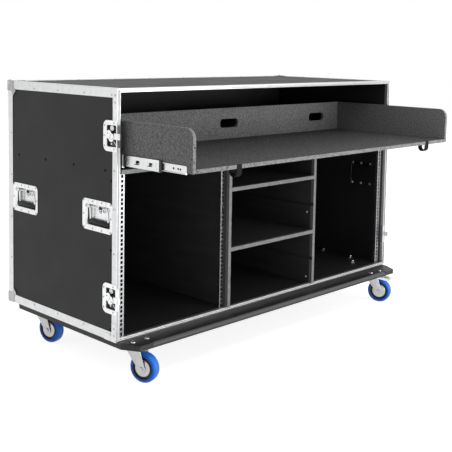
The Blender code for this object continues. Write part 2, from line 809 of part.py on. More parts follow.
def latch_plate(side, rise):
    """The latch's plate over the edge, with a cup that is open for the hook at the front."""
    rear = frame_shoulder + latch_depth
    half = latch_height / 2
    outline = [(back(frame_shoulder), up(rise - half))]
    outline += arc((back(rear - latch_corner), up(rise - half + latch_corner)), latch_corner,
                   -90, 0, 4)
    outline += arc((back(rear - latch_corner), up(rise + half - latch_corner)), latch_corner,
                   0, 90, 4)
    outline += [(back(frame_shoulder), up(rise + half))]
    plate = prism(outline, "X", across(side, -cap), across(side, -fit))
    cup = box((across(side, -cap + plate_wall / 2), across(side, cup_floor)),
              (back(cup_front + fit), back(cup_back)),
              (up(rise - cup_height / 2), up(rise + cup_height / 2)))
    hollow = box((across(side, -beyond), across(side, cup_floor - cup_wall)),
                 (back(cup_front + fit + cup_wall), back(cup_back - cup_wall)),
                 (up(rise - cup_height / 2 + cup_wall), up(rise + cup_height / 2 - cup_wall)))
    return cut(fuse(plate, [cup]), [hollow])


def latch_key(side, rise, raised):
    """The key: a spindle with two wings over the cup, lying flat or standing up together."""
    centre = (back(key_set), up(rise))
    wing_face = cap + fit
    wing_top = wing_face + key_wall
    spindle = turned("X", centre, [(across(side, key_inset - fit), spindle_radius),
                                   (across(side, -wing_face - key_wall / 2), spindle_radius)],
                     steps=8)
    if raised:
        hub = turned("X", centre, [(across(side, -wing_face), key_hub),
                                   (across(side, -wing_top), key_hub)], steps=12)
        outline = [(wing_face + key_wall / 2, -key_waist)]
        outline += arc((wing_raise - key_corner, key_corner - key_waist), key_corner, -90, 0, 4)
        outline += arc((wing_raise - key_corner, key_waist - key_corner), key_corner, 0, 90, 4)
        outline += [(wing_face + key_wall / 2, key_waist)]
        wings = prism([(across(side, -out), up(rise) + along) for out, along in outline], "Y",
                      back(key_set) - key_wall, back(key_set) + key_wall)
        return fuse(spindle, [hub, wings])
    outline = []
    for i in range(key_points):
        angle = 2 * math.pi * i / key_points
        share = abs(math.cos(angle - math.radians(key_lean)))
        reach = key_waist + (key_radius - key_waist) * share
        outline.append((centre[0] + reach * math.sin(angle), centre[1] + reach * math.cos(angle)))
    wings = prism(outline, "X", across(side, -wing_face), across(side, -wing_top))
    return fuse(spindle, [wings])


def latch_hook(side, rise):
    """The hook: a strip from under the key, over the edge, with a claw turned inward."""
    foot_top = key_inset - 5 * fit - hook_wall
    top = cap + fit
    tail = key_set - spindle_radius - 4 * fit
    riser = cup_front + cup_wall + hook_travel + 8 * fit
    ring = [(foot_top + hook_wall, tail), (foot_top, tail), (foot_top, riser + hook_wall),
            (-top - hook_wall, riser + hook_wall), (-top - hook_wall, -hook_reach),
            (frame_shoulder / 2, -hook_reach), (frame_shoulder / 2, -hook_reach + hook_wall),
            (-top, -hook_reach + hook_wall), (-top, riser), (foot_top + hook_wall, riser)]
    outline = [(across(side, inset), back(depth)) for inset, depth in ring]
    return prism(outline, "Z", up(rise) - hook_width / 2, up(rise) + hook_width / 2)


for side in (-1, 1):
    for where, rise in latch_places:
        tag = f"{side_name(side)}_{where}"
        pivot = (across(side, 0.0), back(key_set), up(rise))
        node(f"latch_plate_{tag}", latch_plate(side, rise), zinc)
        node(f"latch_key_{tag}", latch_key(side, rise, side > 0), zinc, pivot, smooth=True)
        node(f"latch_hook_{tag}", latch_hook(side, rise), zinc, pivot)

# Base board under the case, with flat ends for the front casters
corner_y = base_chamfer_side - base_front
rear_edge = case_depth - base_inset
outline = [(across(-1, base_inset + base_chamfer_front), back(-base_front)),
           (across(1, base_inset + base_chamfer_front), back(-base_front)),
           (across(1, base_inset), back(corner_y)),
           (across(1, base_inset), back(rear_edge - base_chamfer_side)),
           (across(1, base_inset + base_chamfer_front), back(rear_edge)),
           (across(-1, base_inset + base_chamfer_front), back(rear_edge)),
           (across(-1, base_inset), back(rear_edge - base_chamfer_side)),
           (across(-1, base_inset), back(corner_y))]
under_case = base_z - fit
board_bottom = under_case - base_board
slab = prism(outline, "Z", board_bottom, under_case)
round_centre = (back(-base_front) + base_round, under_case - base_round)
waste = arc(round_centre, base_round, 180, 90, 6)
waste += [(round_centre[0], under_case + beyond), (back(-base_front) - beyond, under_case + beyond),
          (back(-base_front) - beyond, round_centre[1])]
waste_block = prism(waste, "X", across(-1, base_flat_end), across(1, base_flat_end))
node("base_board", cut(slab, [waste_block]), board_black)

# Swivel casters: fixed plate with its kingpin, turning fork, wheel, axle and brake pedal
plate_top = board_bottom - fit
plate_under = plate_top - mount_plate
race_under = plate_under - race_height
crown_top = race_under - fit
crown_under = crown_top - fork_wall
nut_top = crown_under - fit
nut_under = nut_top - kingpin_nut_height
axle_z = wheel_radius
fork_inner = hub_width / 2 + 3 * fit
fork_outer = fork_inner + fork_wall
pedal_pivot_y = -pedal_set
pedal_pivot_z = crown_under - pedal_drop
caster_places = [(side, where, place) for side in (-1, 1)
                 for where, place in (("front", caster_front), ("rear", caster_rear))]


def caster_plate(x, y):
    """The fixed plate with its ball race and the peened kingpin."""
    plate = prism(rounded((x, y), mount_plate_x, mount_plate_y, mount_corner, 2), "Z",
                  plate_top, plate_under)
    profile = [(plate_top - mount_plate / 2, race_radius), (race_under, race_radius - race_taper),
               (race_under, kingpin), (nut_top, kingpin), (nut_top, kingpin_nut),
               (nut_under, kingpin_nut - kingpin_nut_taper)]
    pin = turned("Z", (x, y), profile, steps=16)
    return fuse(plate, [pin])


def caster_fork(x, y, braked):
    """The fork: a crown under the race and two legs down to the axle."""
    crown = box((x - fork_outer, x + fork_outer), (y - crown_front, y + crown_rear), (crown_top, crown_under))
    axle = (y - caster_trail, axle_z)
    outline = [(y + crown_rear, crown_under + fork_wall / 2),
               (y + crown_rear - fork_taper, crown_under - fork_shoulder)]
    outline += arc(axle, fork_boss, 20, -200, 8)
    outline += [(y - crown_front - fork_taper, crown_under - fork_shoulder),
                (y - crown_front, crown_under + fork_wall / 2)]
    legs = [prism(outline, "X", x + way * fork_inner, x + way * fork_outer) for way in (-1, 1)]
    fork = fuse(crown, legs)
    reach = fork_outer + beyond
    bores = [turned("Z", (x, y), [(crown_top + beyond, kingpin + fit), (crown_under - beyond, kingpin + fit)],
                    steps=16)]
    if braked:
        bores.append(turned("X", (y + pedal_pivot_y, pedal_pivot_z),
                            [(x - reach, pedal_pin + fit), (x + reach, pedal_pin + fit)], steps=8))
    return fuse(cut(fork, bores), [caster_axle(x, y)])


def caster_axle(x, y):
    """The riveted axle with its head and nut outside the fork's legs."""
    head = fork_outer - fit
    profile = [(x - head - axle_head_height, axle_head - fit), (x - head, axle_head),
               (x - head, axle_radius), (x + head, axle_radius), (x + head, axle_head),
               (x + head + axle_head_height, axle_head - fit)]
    return turned("X", (y - caster_trail, axle_z), profile, steps=12)


def caster_wheel(x, y):
    """The wheel: elastic tyre, dished web and hub, as one turned piece with a bore."""
    half = wheel_width / 2
    hub = hub_width / 2
    bore = axle_radius + fit
    tread = wheel_radius / math.cos(math.pi / wheel_steps)
    profile = [(-hub, bore), (-hub, hub_radius), (-half * web_share, web_inner),
               (-half * web_share, web_outer), (-half, tyre_inner),
               (-half * web_share, tread - tyre_crown), (0.0, tread)]
    profile += [(-along, radius) for along, radius in reversed(profile[:-1])]
    return turned("X", (y - caster_trail, axle_z), [(x + along, radius) for along, radius in profile],
                  steps=wheel_steps, bore=True)


def brake_pedal(x, y):
    """The pedal: a bent plate on trunnions between the legs, reaching out over the wheel."""
    pivot = (y + pedal_pivot_y, pedal_pivot_z)
    outline = arc(pivot, pedal_boss, -90, 90, 4)
    outline += [(y - pedal_bend, pivot[1] + pedal_boss), (y - pedal_reach, pivot[1] - pedal_boss / 2),
                (y - pedal_reach, pivot[1] - pedal_boss - fork_wall),
                (y - pedal_bend, pivot[1] + pedal_boss - fork_wall),
                (y - pedal_set - 3 * pedal_boss, pivot[1] + pedal_boss - fork_wall),
                (y - pedal_set - 2 * pedal_boss, pivot[1] - pedal_boss)]
    blade = prism(outline, "X", x - fork_inner + 2 * fit, x + fork_inner - 2 * fit)
    reach = fork_outer + 2 * fit
    pin = turned("X", pivot, [(x - reach, pedal_pin), (x + reach, pedal_pin)], steps=8)
    return fuse(blade, [pin])


def swivelled(shape, x, y, degrees):
    """Turn a shape about its caster's kingpin."""
    bmesh.ops.rotate(shape, verts=shape.verts, cent=(x, y, 0.0),
                     matrix=Matrix.Rotation(math.radians(degrees), 3, 'Z'))
    return shape


for side, where, place in caster_places:
    tag = f"{side_name(side)}_{where}"
    turn = caster_turns[tag]
    lean = (math.sin(math.radians(turn)), -math.cos(math.radians(turn)))
    x = across(side, caster_inset)
    y = back(place)
    braked = side > 0
    node(f"caster_plate_{tag}", caster_plate(x, y), zinc)
    node(f"caster_fork_{tag}", swivelled(caster_fork(x, y, braked), x, y, turn), zinc,
         (x, y, crown_top))
    node(f"caster_wheel_{tag}", swivelled(caster_wheel(x, y), x, y, turn), blue_tyre,
         (x + caster_trail * lean[0], y + caster_trail * lean[1], axle_z), smooth=True)
    if braked:
        node(f"brake_pedal_{tag}", swivelled(brake_pedal(x, y), x, y, turn), zinc,
             (x + pedal_set * lean[0], y + pedal_set * lean[1], pedal_pivot_z))
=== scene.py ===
import math

import bmesh
import bpy
from mathutils import Matrix, Vector


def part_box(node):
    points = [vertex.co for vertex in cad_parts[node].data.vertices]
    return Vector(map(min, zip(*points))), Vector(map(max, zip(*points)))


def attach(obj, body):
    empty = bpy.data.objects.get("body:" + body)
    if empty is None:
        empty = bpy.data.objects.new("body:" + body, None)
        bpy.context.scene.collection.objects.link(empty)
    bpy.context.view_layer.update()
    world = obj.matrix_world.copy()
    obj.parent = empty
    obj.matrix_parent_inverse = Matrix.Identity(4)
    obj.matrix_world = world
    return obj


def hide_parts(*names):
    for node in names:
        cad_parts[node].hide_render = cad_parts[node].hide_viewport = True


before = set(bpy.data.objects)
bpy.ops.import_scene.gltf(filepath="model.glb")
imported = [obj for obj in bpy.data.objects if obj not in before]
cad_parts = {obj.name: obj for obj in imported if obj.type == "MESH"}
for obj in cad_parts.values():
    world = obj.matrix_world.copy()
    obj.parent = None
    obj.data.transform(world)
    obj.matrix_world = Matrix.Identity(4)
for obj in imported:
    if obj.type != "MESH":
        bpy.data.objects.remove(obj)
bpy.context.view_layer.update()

# Base board
# A painted plywood board under the case; it carries the casters and reaches out in front,
# where its edge is rounded over. Carriage bolts through each front corner hold a caster.
BOARD_ROUND = 0.0012
SMOOTH_ANGLE = math.radians(32)


class Flow:
    """A value in a node tree: sums, products and the like add Math nodes."""

    def __init__(self, nodes, socket):
        self.nodes = nodes
        self.socket = socket

    def maths(self, operation, *values, clamp=False):
        settings = {"operation": operation, "use_clamp": clamp}
        return self.nodes.node("ShaderNodeMath", settings, dict(enumerate(values)))

    def __add__(self, other):
        return self.maths('ADD', self, other)

    def __radd__(self, other):
        return self.maths('ADD', other, self)

    def __sub__(self, other):
        return self.maths('SUBTRACT', self, other)

    def __rsub__(self, other):
        return self.maths('SUBTRACT', other, self)

    def __mul__(self, other):
        return self.maths('MULTIPLY', self, other)

    def between(self, low, high):
        """0 below low, 1 above high and an even rise from one to the other."""
        return self.maths('MULTIPLY', self - low, 1.0 / (high - low), clamp=True)

    def unsigned(self):
        return self.maths('ABSOLUTE', self)

    def most(self, other):
        return self.maths('MAXIMUM', self, other)


class Nodes:
    """A node tree, with one way to add any node to it."""

    def __init__(self, tree):
        self.tree = tree

    def join(self, socket, value):
        if isinstance(value, Flow):
            self.tree.links.new(value.socket, socket)
        else:
            socket.default_value = value

    def node(self, kind, settings, values, output=0):
        made = self.tree.nodes.new(kind)
        for name, value in settings.items():
            setattr(made, name, value)
        for name, value in values.items():
            self.join(made.inputs[name], value)
        return Flow(self, made.outputs[output])

    def seen(self):
        """1 for what the camera sees, straight or in a shiny or clear surface, else 0."""
        rays = [self.node("ShaderNodeLightPath", {}, {}, ray)
                for ray in ("Is Camera Ray", "Is Glossy Ray", "Is Transmission Ray")]
        return rays[0].most(rays[1]).most(rays[2])


class Finish(Nodes):
    """A surface finish: one Principled shader and the nodes that feed it."""

    def __init__(self, name, **shader_values):
        self.material = bpy.data.materials.new(name)
        self.material.use_nodes = True
        super().__init__(self.material.node_tree)
        self.shader = self.tree.nodes["Principled BSDF"]
        for socket, value in shader_values.items():
            value = self.rgba(value) if socket == "base_color" else value
            self.set(socket.replace("_", " ").title().replace("Ior", "IOR"), value)

    def set(self, socket, value):
        self.join(self.shader.inputs[socket], value)

    def coordinates(self, kind, axis):
        """One coordinate of the point itself ("Object", metres) or of the way it faces."""
        point = self.node("ShaderNodeTexCoord", {}, {}, kind)
        return self.node("ShaderNodeSeparateXYZ", {}, {"Vector": point}, axis)

    def place(self):
        """The point's own coordinates on its piece, in metres."""
        return self.node("ShaderNodeTexCoord", {}, {}, "Object")

    def face(self, axis):
        """How far the surface faces along an axis of its piece, from -1 to 1."""
        return self.coordinates("Normal", axis)

    def noise(self, scale, detail=2.0, stretch=(1.0, 1.0, 1.0), roughness=0.5):
        """Grain with about this many grains to the metre, drawn out along an axis."""
        where = self.node("ShaderNodeVectorMath", {"operation": 'MULTIPLY'},
                          {0: self.place(), 1: stretch})
        return self.node("ShaderNodeTexNoise", {"noise_dimensions": '3D'},
                         {"Vector": where, "Scale": scale, "Detail": detail,
                          "Roughness": roughness})

    def mix(self, amount, one, other):
        """A colour between two, by an amount from 0 to 1."""
        return self.node("ShaderNodeMix", {"data_type": 'RGBA', "clamp_factor": True},
                         {"Factor": amount, 6: self.rgba(one), 7: self.rgba(other)}, 2)

    def rgba(self, colour):
        return colour if isinstance(colour, Flow) else (*colour, 1.0)

    def bump(self, height_map, strength, distance):
        self.set("Normal", self.node("ShaderNodeBump", {},
                                     {"Height": height_map, "Strength": strength,
                                      "Distance": distance}))


def soften(made, width):
    """Round a piece's sharp edges a little, as on any real pressed or sawn piece."""
    modifier = made.modifiers.new("soft edges", 'BEVEL')
    modifier.width = width
    modifier.segments = 2
    modifier.limit_method = 'ANGLE'
    modifier.angle_limit = SMOOTH_ANGLE
    shading = made.modifiers.new("flat faces stay flat", 'WEIGHTED_NORMAL')
    shading.keep_sharp = True


def dress(node, finish, round_edges=0.0):
    """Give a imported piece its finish."""
    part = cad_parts[node]
    part.data.materials.clear()
    part.data.materials.append(finish.material)
    if round_edges:
        soften(part, round_edges)


board_paint = Finish("satin_black_paint", specular_ior_level=0.14)
grain = board_paint.noise(60.0, 4.0, (0.15, 1.0, 1.0))
pits = board_paint.noise(700.0, 2.0)
# The board's colour paints light and shade: the level top is painted darker than the other faces,
# and the rounded-over front edge carries a painted highlight.
level_face = board_paint.face("Z").between(0.88, 0.97)
highlight_band = board_paint.face("Z").between(0.12, 0.40) * (1.0 - level_face)
brushed = grain.between(0.35, 0.75)
lit_side_paint = board_paint.mix(brushed, (0.040, 0.040, 0.041), (0.062, 0.062, 0.064))
side_paint_with_highlight = board_paint.mix(highlight_band, lit_side_paint, (0.120, 0.120, 0.122))
shaded_top_paint = board_paint.mix(brushed, (0.014, 0.014, 0.0145), (0.026, 0.026, 0.027))
board_paint.set("Base Color", board_paint.mix(level_face, side_paint_with_highlight, shaded_top_paint))
board_paint.set("Roughness", 0.28 + pits.between(0.3, 0.8) * 0.16)
board_paint.bump(grain * 0.6 + pits * 0.4, 0.25, 0.0006)
dress("base_board", board_paint, BOARD_ROUND)

# Carriage bolts
# Zinc-plated bolts with low round heads. Two show in the board at each front corner; three
# more stand on the floor of the right-hand bay, where the rear plates are held from inside.
WALL = 0.0016
GAP = 0.0003
SKIN = WALL + GAP
BOLT_HEAD = 0.0085
BOLT_RISE = 0.0036
BOARD_BOLTS = ((0.0468, -0.0235), (0.1047, -0.0244), (1.3562, -0.0389), (1.4148, -0.0421))
BAY_BOLTS = ((1.4877, 0.3215), (1.4728, 0.1547), (1.4061, 0.0944))
BAY_FLOOR = 0.0114
BAY_WASHER = 0.0115
BAY_NUT = 0.0075
BAY_THREAD = 0.0052
# A bay bolt's washer and nut: (rise above the floor, radius).
BAY_STACK = ((0.0, BAY_WASHER), (0.0014, BAY_WASHER), (0.0015, BAY_NUT), (0.0080, BAY_NUT))

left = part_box("side_panel_left")[0].x - SKIN
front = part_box("front_frame")[0].y
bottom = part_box("floor_panel")[0].z - SKIN


def back(distance):
    """Y of a place this far behind the front plane."""
    return front + distance


def up(rise):
    """Z of a place this high above the underside of the case."""
    return bottom + rise


def on_axis(axis, along, a, b):
    """A point from its place along one axis and its two other coordinates, in order."""
    point = [a, b]
    point.insert("XYZ".index(axis), along)
    return Vector(point)


def off_axis(axis, point):
    """A point's place along one axis, and its two other coordinates."""
    rest = list(point)
    return rest.pop("XYZ".index(axis)), rest


def loft(rings, looped=False):
    """Skin rings of equal point count, capped at both ends or joined into a loop."""
    shape = bmesh.new()
    rows = [[shape.verts.new(point) for point in ring] for ring in rings]
    pairs = list(zip(rows, rows[1:]))
    if looped:
        pairs.append((rows[-1], rows[0]))
    for row, following in pairs:
        for i in range(len(row)):
            j = (i + 1) % len(row)
            shape.faces.new((row[i], row[j], following[j], following[i]))
    if not looped:
        shape.faces.new(rows[0])
        shape.faces.new(rows[-1])
    bmesh.ops.remove_doubles(shape, verts=shape.verts, dist=0.000002)
    bmesh.ops.recalc_face_normals(shape, faces=shape.faces)
    return shape


def turned(axis, centre, profile, steps=24, looped=False):
    """A turned shape: its profile lists (place along the axis, radius)."""
    angles = [2 * math.pi * i / steps for i in range(steps)]
    rings = [[on_axis(axis, along, centre[0] + radius * math.cos(angle),
                      centre[1] + radius * math.sin(angle)) for angle in angles]
             for along, radius in profile]
    return loft(rings, looped)


def together(shapes):
    """Several shapes as one mesh, side by side."""
    whole = bmesh.new()
    for shape in shapes:
        mesh = bpy.data.meshes.new("part of a piece")
        shape.to_mesh(mesh)
        shape.free()
        whole.from_mesh(mesh)
        bpy.data.meshes.remove(mesh)
    return whole


def piece(name, shape, finish, body, stands_for=None, round_edges=0.0):
    """Make one shown piece: its mesh, finish, softened edges and the body it rides on."""
    mesh = bpy.data.meshes.new(name)
    shape.to_mesh(mesh)
    shape.free()
    mesh.shade_smooth()
    mesh.set_sharp_from_angle(angle=SMOOTH_ANGLE)
    mesh.materials.append(finish.material)
    made = bpy.data.objects.new(name, mesh)
    bpy.context.scene.collection.objects.link(made)
    if round_edges:
        soften(made, round_edges)
    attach(made, body)
    if stands_for:
        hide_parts(stands_for)
    return made


def scratched_metal(name, colour, roughness, streak, blotch=0.12):
    """Plated or rolled metal: fine streaks along one axis and a faint mottle."""
    metal = Finish(name, metallic=1.0)
    lines = metal.noise(900.0, 3.0, streak)
    mottle = metal.noise(55.0, 4.0)
    grit = metal.noise(2600.0, 1.0)
    if colour:
        darker = tuple(channel * 0.80 for channel in colour)
        metal.set("Base Color", metal.mix(mottle.between(0.30, 0.75) * 0.6 + lines * 0.25,
                                          colour, darker))
    metal.set("Roughness", roughness + (mottle - 0.5) * blotch + (lines - 0.5) * 0.16)
    metal.bump(lines * 0.7 + grit * 0.3, 0.16, 0.00012)
    return metal


zinc = scratched_metal("bright_zinc", (0.72, 0.725, 0.735), 0.27, (1.0, 1.0, 0.25))


def dome(centre, axis, way, radius, rise, hole=0.0):
    """A round head standing on a face: its centre lies on the face."""
    along, middle = off_axis(axis, centre)
    sink = 0.0002
    profile = [(along - way * sink, radius)]
    for i in range(4):
        angle = math.radians(15 + 25 * i)
        profile.append((along + way * rise * math.sin(angle), radius * math.cos(angle * 0.86)))
    if hole:
        profile += [(along + way * rise, hole * 1.25), (along + way * rise * 0.86, hole),
                    (along + way * rise * 0.25, hole * 0.9)]
    return turned(axis, middle, profile, 16)


board_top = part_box("base_board")[1].z
heads = [dome((left + a, back(b), board_top), "Z", 1, BOLT_HEAD, BOLT_RISE)
         for a, b in BOARD_BOLTS]
for a, b in BAY_BOLTS:
    spot = (left + a, back(b))
    stack = [(up(BAY_FLOOR) + rise, radius) for rise, radius in BAY_STACK]
    heads += [turned("Z", spot, stack, 6), dome((*spot, stack[-1][0]), "Z", 1, BAY_THREAD, 0.0045)]
piece("base_board_bolts", together(heads), zinc, "case")

# Casters
# Pressed and zinc-plated swivel casters: a flat top plate with a ball race, a fork whose
# bowed legs taper to the axle, and a wheel with an elastic blue tyre on a black core.
# Each is bolted up under the board and hangs where it last swivelled.
PLATE_CORNER = 0.012
PLATE_WALL = 0.003
BOLT_STEP_X = 0.030
BOLT_STEP_Y = 0.040
RACE_RADIUS = 0.027
PIN_RADIUS = 0.0095
LEG_GAP = 0.0009
LEG_WALL = 0.0028
LEG_BOW = 0.0060
CROWN_FRONT = 0.031
CROWN_REAR = 0.025
BOSS_RADIUS = 0.0150
BOSS_RISE = 0.0008
AXLE_RADIUS = 0.0072
NUT_ACROSS = 0.0075
NUT_RISE = 0.006
HUB = 0.0205
TYRE_HALF = 0.0178
TYRE_INNER = 0.0390
DISC_RADIUS = 0.0282
WHEEL_STEPS = 96
# Half profiles from the wheel's middle out. The tread lists (share of the tyre's half width,
# drop below the wheel's radius); the core and the dust discs list (share, radius).
TREAD_DROPS = ((0.0, 0.0), (0.30, 0.0001), (0.55, 0.0006), (0.60, 0.0011), (0.64, 0.0009),
               (0.82, 0.0030), (0.93, 0.0062), (0.96, 0.0072))
CORE_PROFILE = ((0.92, TYRE_INNER - 0.0001), (0.96, TYRE_INNER - 0.0012),
                (0.94, TYRE_INNER - 0.0030), (0.62, TYRE_INNER - 0.0060),
                (0.58, DISC_RADIUS), (0.58, 0.006))
DISC_PROFILE = ((0.60, DISC_RADIUS), (0.86, DISC_RADIUS), (0.92, DISC_RADIUS - 0.0012),
                (0.96, DISC_RADIUS * 0.8), (1.06, DISC_RADIUS * 0.5))

fork_metal = scratched_metal("caster_zinc", (0.50, 0.50, 0.495), 0.36, (1.0, 1.0, 0.3), 0.2)
tyre_blue = Finish("blue_elastic_tyre", specular_ior_level=0.35)
dust = tyre_blue.noise(90.0, 5.0)
skin_grain = tyre_blue.noise(1500.0, 2.0)
sidewall = tyre_blue.mix(dust.between(0.42, 0.85) * 0.35, (0.0, 0.110, 0.74), (0.01, 0.15, 0.62))
tyre_blue.set("Base Color", tyre_blue.mix(tyre_blue.face("X").unsigned().between(0.45, 0.80),
                                          (0.025, 0.235, 0.92), sidewall))
tyre_blue.set("Roughness", 0.38 + dust.between(0.3, 0.8) * 0.2)
tyre_blue.bump(skin_grain, 0.10, 0.0002)


def prism(outline, axis, start, end):
    """An outline of the two other coordinates, pushed along an axis."""
    return loft([[on_axis(axis, along, a, b) for a, b in outline] for along in (start, end)])


def arc(centre, radius, start, end, steps):
    """Points of an arc, both ends included, in degrees."""
    angles = [math.radians(start + (end - start) * i / steps) for i in range(steps + 1)]
    return [(centre[0] + radius * math.cos(angle), centre[1] + radius * math.sin(angle))
            for angle in angles]


def rounded(centre, width, length, radius, steps=6):
    """The outline of a rectangle with round corners."""
    points = []
    for sx, sy, start in ((1, 1, 0), (-1, 1, 90), (-1, -1, 180), (1, -1, 270)):
        middle = (centre[0] + sx * (width / 2 - radius), centre[1] + sy * (length / 2 - radius))
        points += arc(middle, radius, start, start + 90, steps)
    return points


def combine(shape, tools, operation):
    """Cut shapes from a shape, or weld them to it."""
    made = []
    for source in [shape] + list(tools):
        mesh = bpy.data.meshes.new("helper")
        source.to_mesh(mesh)
        source.free()
        helper = bpy.data.objects.new("helper", mesh)
        bpy.context.scene.collection.objects.link(helper)
        made.append(helper)
    for helper in made[1:]:
        modifier = made[0].modifiers.new("cut", 'BOOLEAN')
        modifier.operation = operation
        modifier.solver = 'EXACT'
        modifier.object = helper
    evaluated = made[0].evaluated_get(bpy.context.evaluated_depsgraph_get())
    result = bmesh.new()
    result.from_mesh(evaluated.to_mesh())
    evaluated.to_mesh_clear()
    for helper in made:
        mesh = helper.data
        bpy.data.objects.remove(helper, do_unlink=True)
        bpy.data.meshes.remove(mesh)
    bmesh.ops.remove_doubles(result, verts=result.verts, dist=0.000005)
    return result


def weld(shape, *tools):
    return combine(shape, tools, 'UNION')


def grained(name, colour, roughness, spread, scale, detail=2.0, bump=0.0, **shader_values):
    """A plain finish with a fine grain in its gloss and, if asked for, in its surface."""
    made = Finish(name, base_color=colour, **shader_values)
    speck = made.noise(scale, detail)
    made.set("Roughness", roughness + speck * spread)
    if bump:
        made.bump(speck, bump, 0.0002)
    return made


core_black = grained("black_nylon_core", (0.012, 0.012, 0.013), 0.32, 0.14, 1200.0, bump=0.15)


def caster_place(tag):
    """A caster's kingpin and the turn of its fork, and its axle as it lies unturned."""
    plate_low, plate_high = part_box(f"caster_plate_{tag}")
    wheel_low, wheel_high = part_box(f"caster_wheel_{tag}")
    x = (plate_low.x + plate_high.x) / 2
    y = (plate_low.y + plate_high.y) / 2
    lean = (wheel_low + wheel_high) / 2 - Vector((x, y, 0.0))
    return x, y, math.atan2(lean.x, -lean.y), (y - math.hypot(lean.x, lean.y), lean.z)


def fork_leg(x, y, way, axle, crown_low):
    """A bowed leg: a curved wall that narrows from the crown to the axle's boss."""
    rings = []
    levels = 10
    for i in range(levels + 1):
        share = i / levels
        z = crown_low + (axle[1] - crown_low) * share
        front_edge = (y - CROWN_FRONT) * (1 - share) + (axle[0] - BOSS_RADIUS * 0.97) * share
        rear_edge = (y + CROWN_REAR) * (1 - share) + (axle[0] + BOSS_RADIUS * 0.97) * share
        bow = LEG_BOW * (1 - share * share)
        outer, inner = [], []
        for k in range(13):
            t = -1 + k / 6
            face = x + way * (HUB + LEG_GAP + bow * (1 - t * t))
            along = (front_edge + rear_edge) / 2 + (rear_edge - front_edge) / 2 * t
            outer.append((face + way * LEG_WALL, along, z))
            inner.append((face, along, z))
        rings.append(outer + inner[::-1])
    return loft(rings)


def swivelled(shape, x, y, angle):
    """Turn a shape about its caster's kingpin."""
    bmesh.ops.rotate(shape, verts=shape.verts, cent=(x, y, 0.0),
                     matrix=Matrix.Rotation(angle, 3, 'Z'))
    return shape


def both_ways(middle, profile):
    """A turned profile mirrored about its middle, from one side's (out, radius) points."""
    return ([(middle - out, radius) for out, radius in reversed(profile)]
            + [(middle + out, radius) for out, radius in profile if out > 0.0])


sides = ((-1, "left"), (1, "right"))
caster_tags = [f"{name}_{where}" for _, name in sides for where in ("front", "rear")]
for tag in caster_tags:
    x, y, angle, axle = caster_place(tag)
    plate, fork, wheel = (f"caster_{part}_{tag}" for part in ("plate", "fork", "wheel"))
    plate_low, plate_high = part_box(plate)
    wheel_low, wheel_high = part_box(wheel)
    crown_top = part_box(fork)[1].z
    crown_low = crown_top - LEG_WALL
    under = plate_high.z - PLATE_WALL
    sheet = prism(rounded((x, y), plate_high.x - plate_low.x, plate_high.y - plate_low.y,
                          PLATE_CORNER), "Z", under, plate_high.z)
    race = turned("Z", (x, y), [(under + PLATE_WALL / 2, RACE_RADIUS),
                                (under - 0.002, RACE_RADIUS), (under - 0.004, RACE_RADIUS * 0.94),
                                (crown_top + GAP * 2, RACE_RADIUS * 0.90)], 48)
    nuts = [turned("Z", (x + sx * BOLT_STEP_X, y + sy * BOLT_STEP_Y),
                   [(under, NUT_ACROSS), (under - NUT_RISE * 0.86, NUT_ACROSS),
                    (under - NUT_RISE, NUT_ACROSS * 0.86)], 6) for sx in (-1, 1) for sy in (-1, 1)]
    pin_end = dome((x, y, plate_low.z + 0.003), "Z", -1, PIN_RADIUS, 0.0028)
    piece(f"caster_top_plate_{tag}", together([sheet, race, pin_end] + nuts), fork_metal, "case",
          plate, 0.0005)

    crown = prism(rounded((x, y + (CROWN_REAR - CROWN_FRONT) / 2), 2 * (HUB + LEG_GAP + LEG_WALL),
                          CROWN_FRONT + CROWN_REAR, 0.010), "Z", crown_low, crown_top)
    race_seat = turned("Z", (x, y), [(crown_top, RACE_RADIUS * 0.8),
                                     (crown_top - 0.005, RACE_RADIUS * 0.72),
                                     (crown_top - 0.0055, 0.010)], 32)
    shapes = [weld(crown, race_seat)]
    for way in (-1, 1):
        inside = x + way * (HUB + LEG_GAP)
        head = inside + way * (LEG_WALL + BOSS_RISE)
        shapes += [fork_leg(x, y, way, axle, crown_low),
                   turned("X", axle, [(inside, BOSS_RADIUS), (inside + way * LEG_WALL, BOSS_RADIUS),
                                      (head, BOSS_RADIUS * 0.90)], 40),
                   turned("X", axle, [(head, AXLE_RADIUS), (head + way * 0.0032, AXLE_RADIUS),
                                      (head + way * 0.0040, AXLE_RADIUS * 0.83),
                                      (head + way * 0.0040, AXLE_RADIUS * 0.42),
                                      (head + way * 0.0030, AXLE_RADIUS * 0.33)],
                          6 if way > 0 else 24)]
    piece(f"caster_fork_body_{tag}", swivelled(together(shapes), x, y, angle), fork_metal, fork,
          fork, 0.0006)

    wheel_radius = (wheel_high.z - wheel_low.z) / 2
    tread = [(TYRE_HALF * share, wheel_radius - drop) for share, drop in TREAD_DROPS]
    tread += [(TYRE_HALF, TYRE_INNER + 0.0016), (TYRE_HALF - 0.0010, TYRE_INNER),
              (TYRE_HALF * 0.5, TYRE_INNER - 0.0006)]
    core = [(TYRE_HALF * share, radius) for share, radius in CORE_PROFILE]
    for part, finish, profile in (("tyre", tyre_blue, tread), ("core", core_black, core)):
        shape = turned("X", axle, both_ways(x, profile), WHEEL_STEPS, looped=True)
        piece(f"caster_{part}_{tag}", swivelled(shape, x, y, angle), finish, wheel,
              wheel)
    discs = [turned("X", axle, [(x + way * TYRE_HALF * share, radius)
                                for share, radius in DISC_PROFILE]
                    + [(x + way * HUB * 0.99, 0.0105)], 64) for way in (-1, 1)]
    piece(f"caster_dust_discs_{tag}", swivelled(together(discs), x, y, angle), fork_metal, wheel,
          wheel)

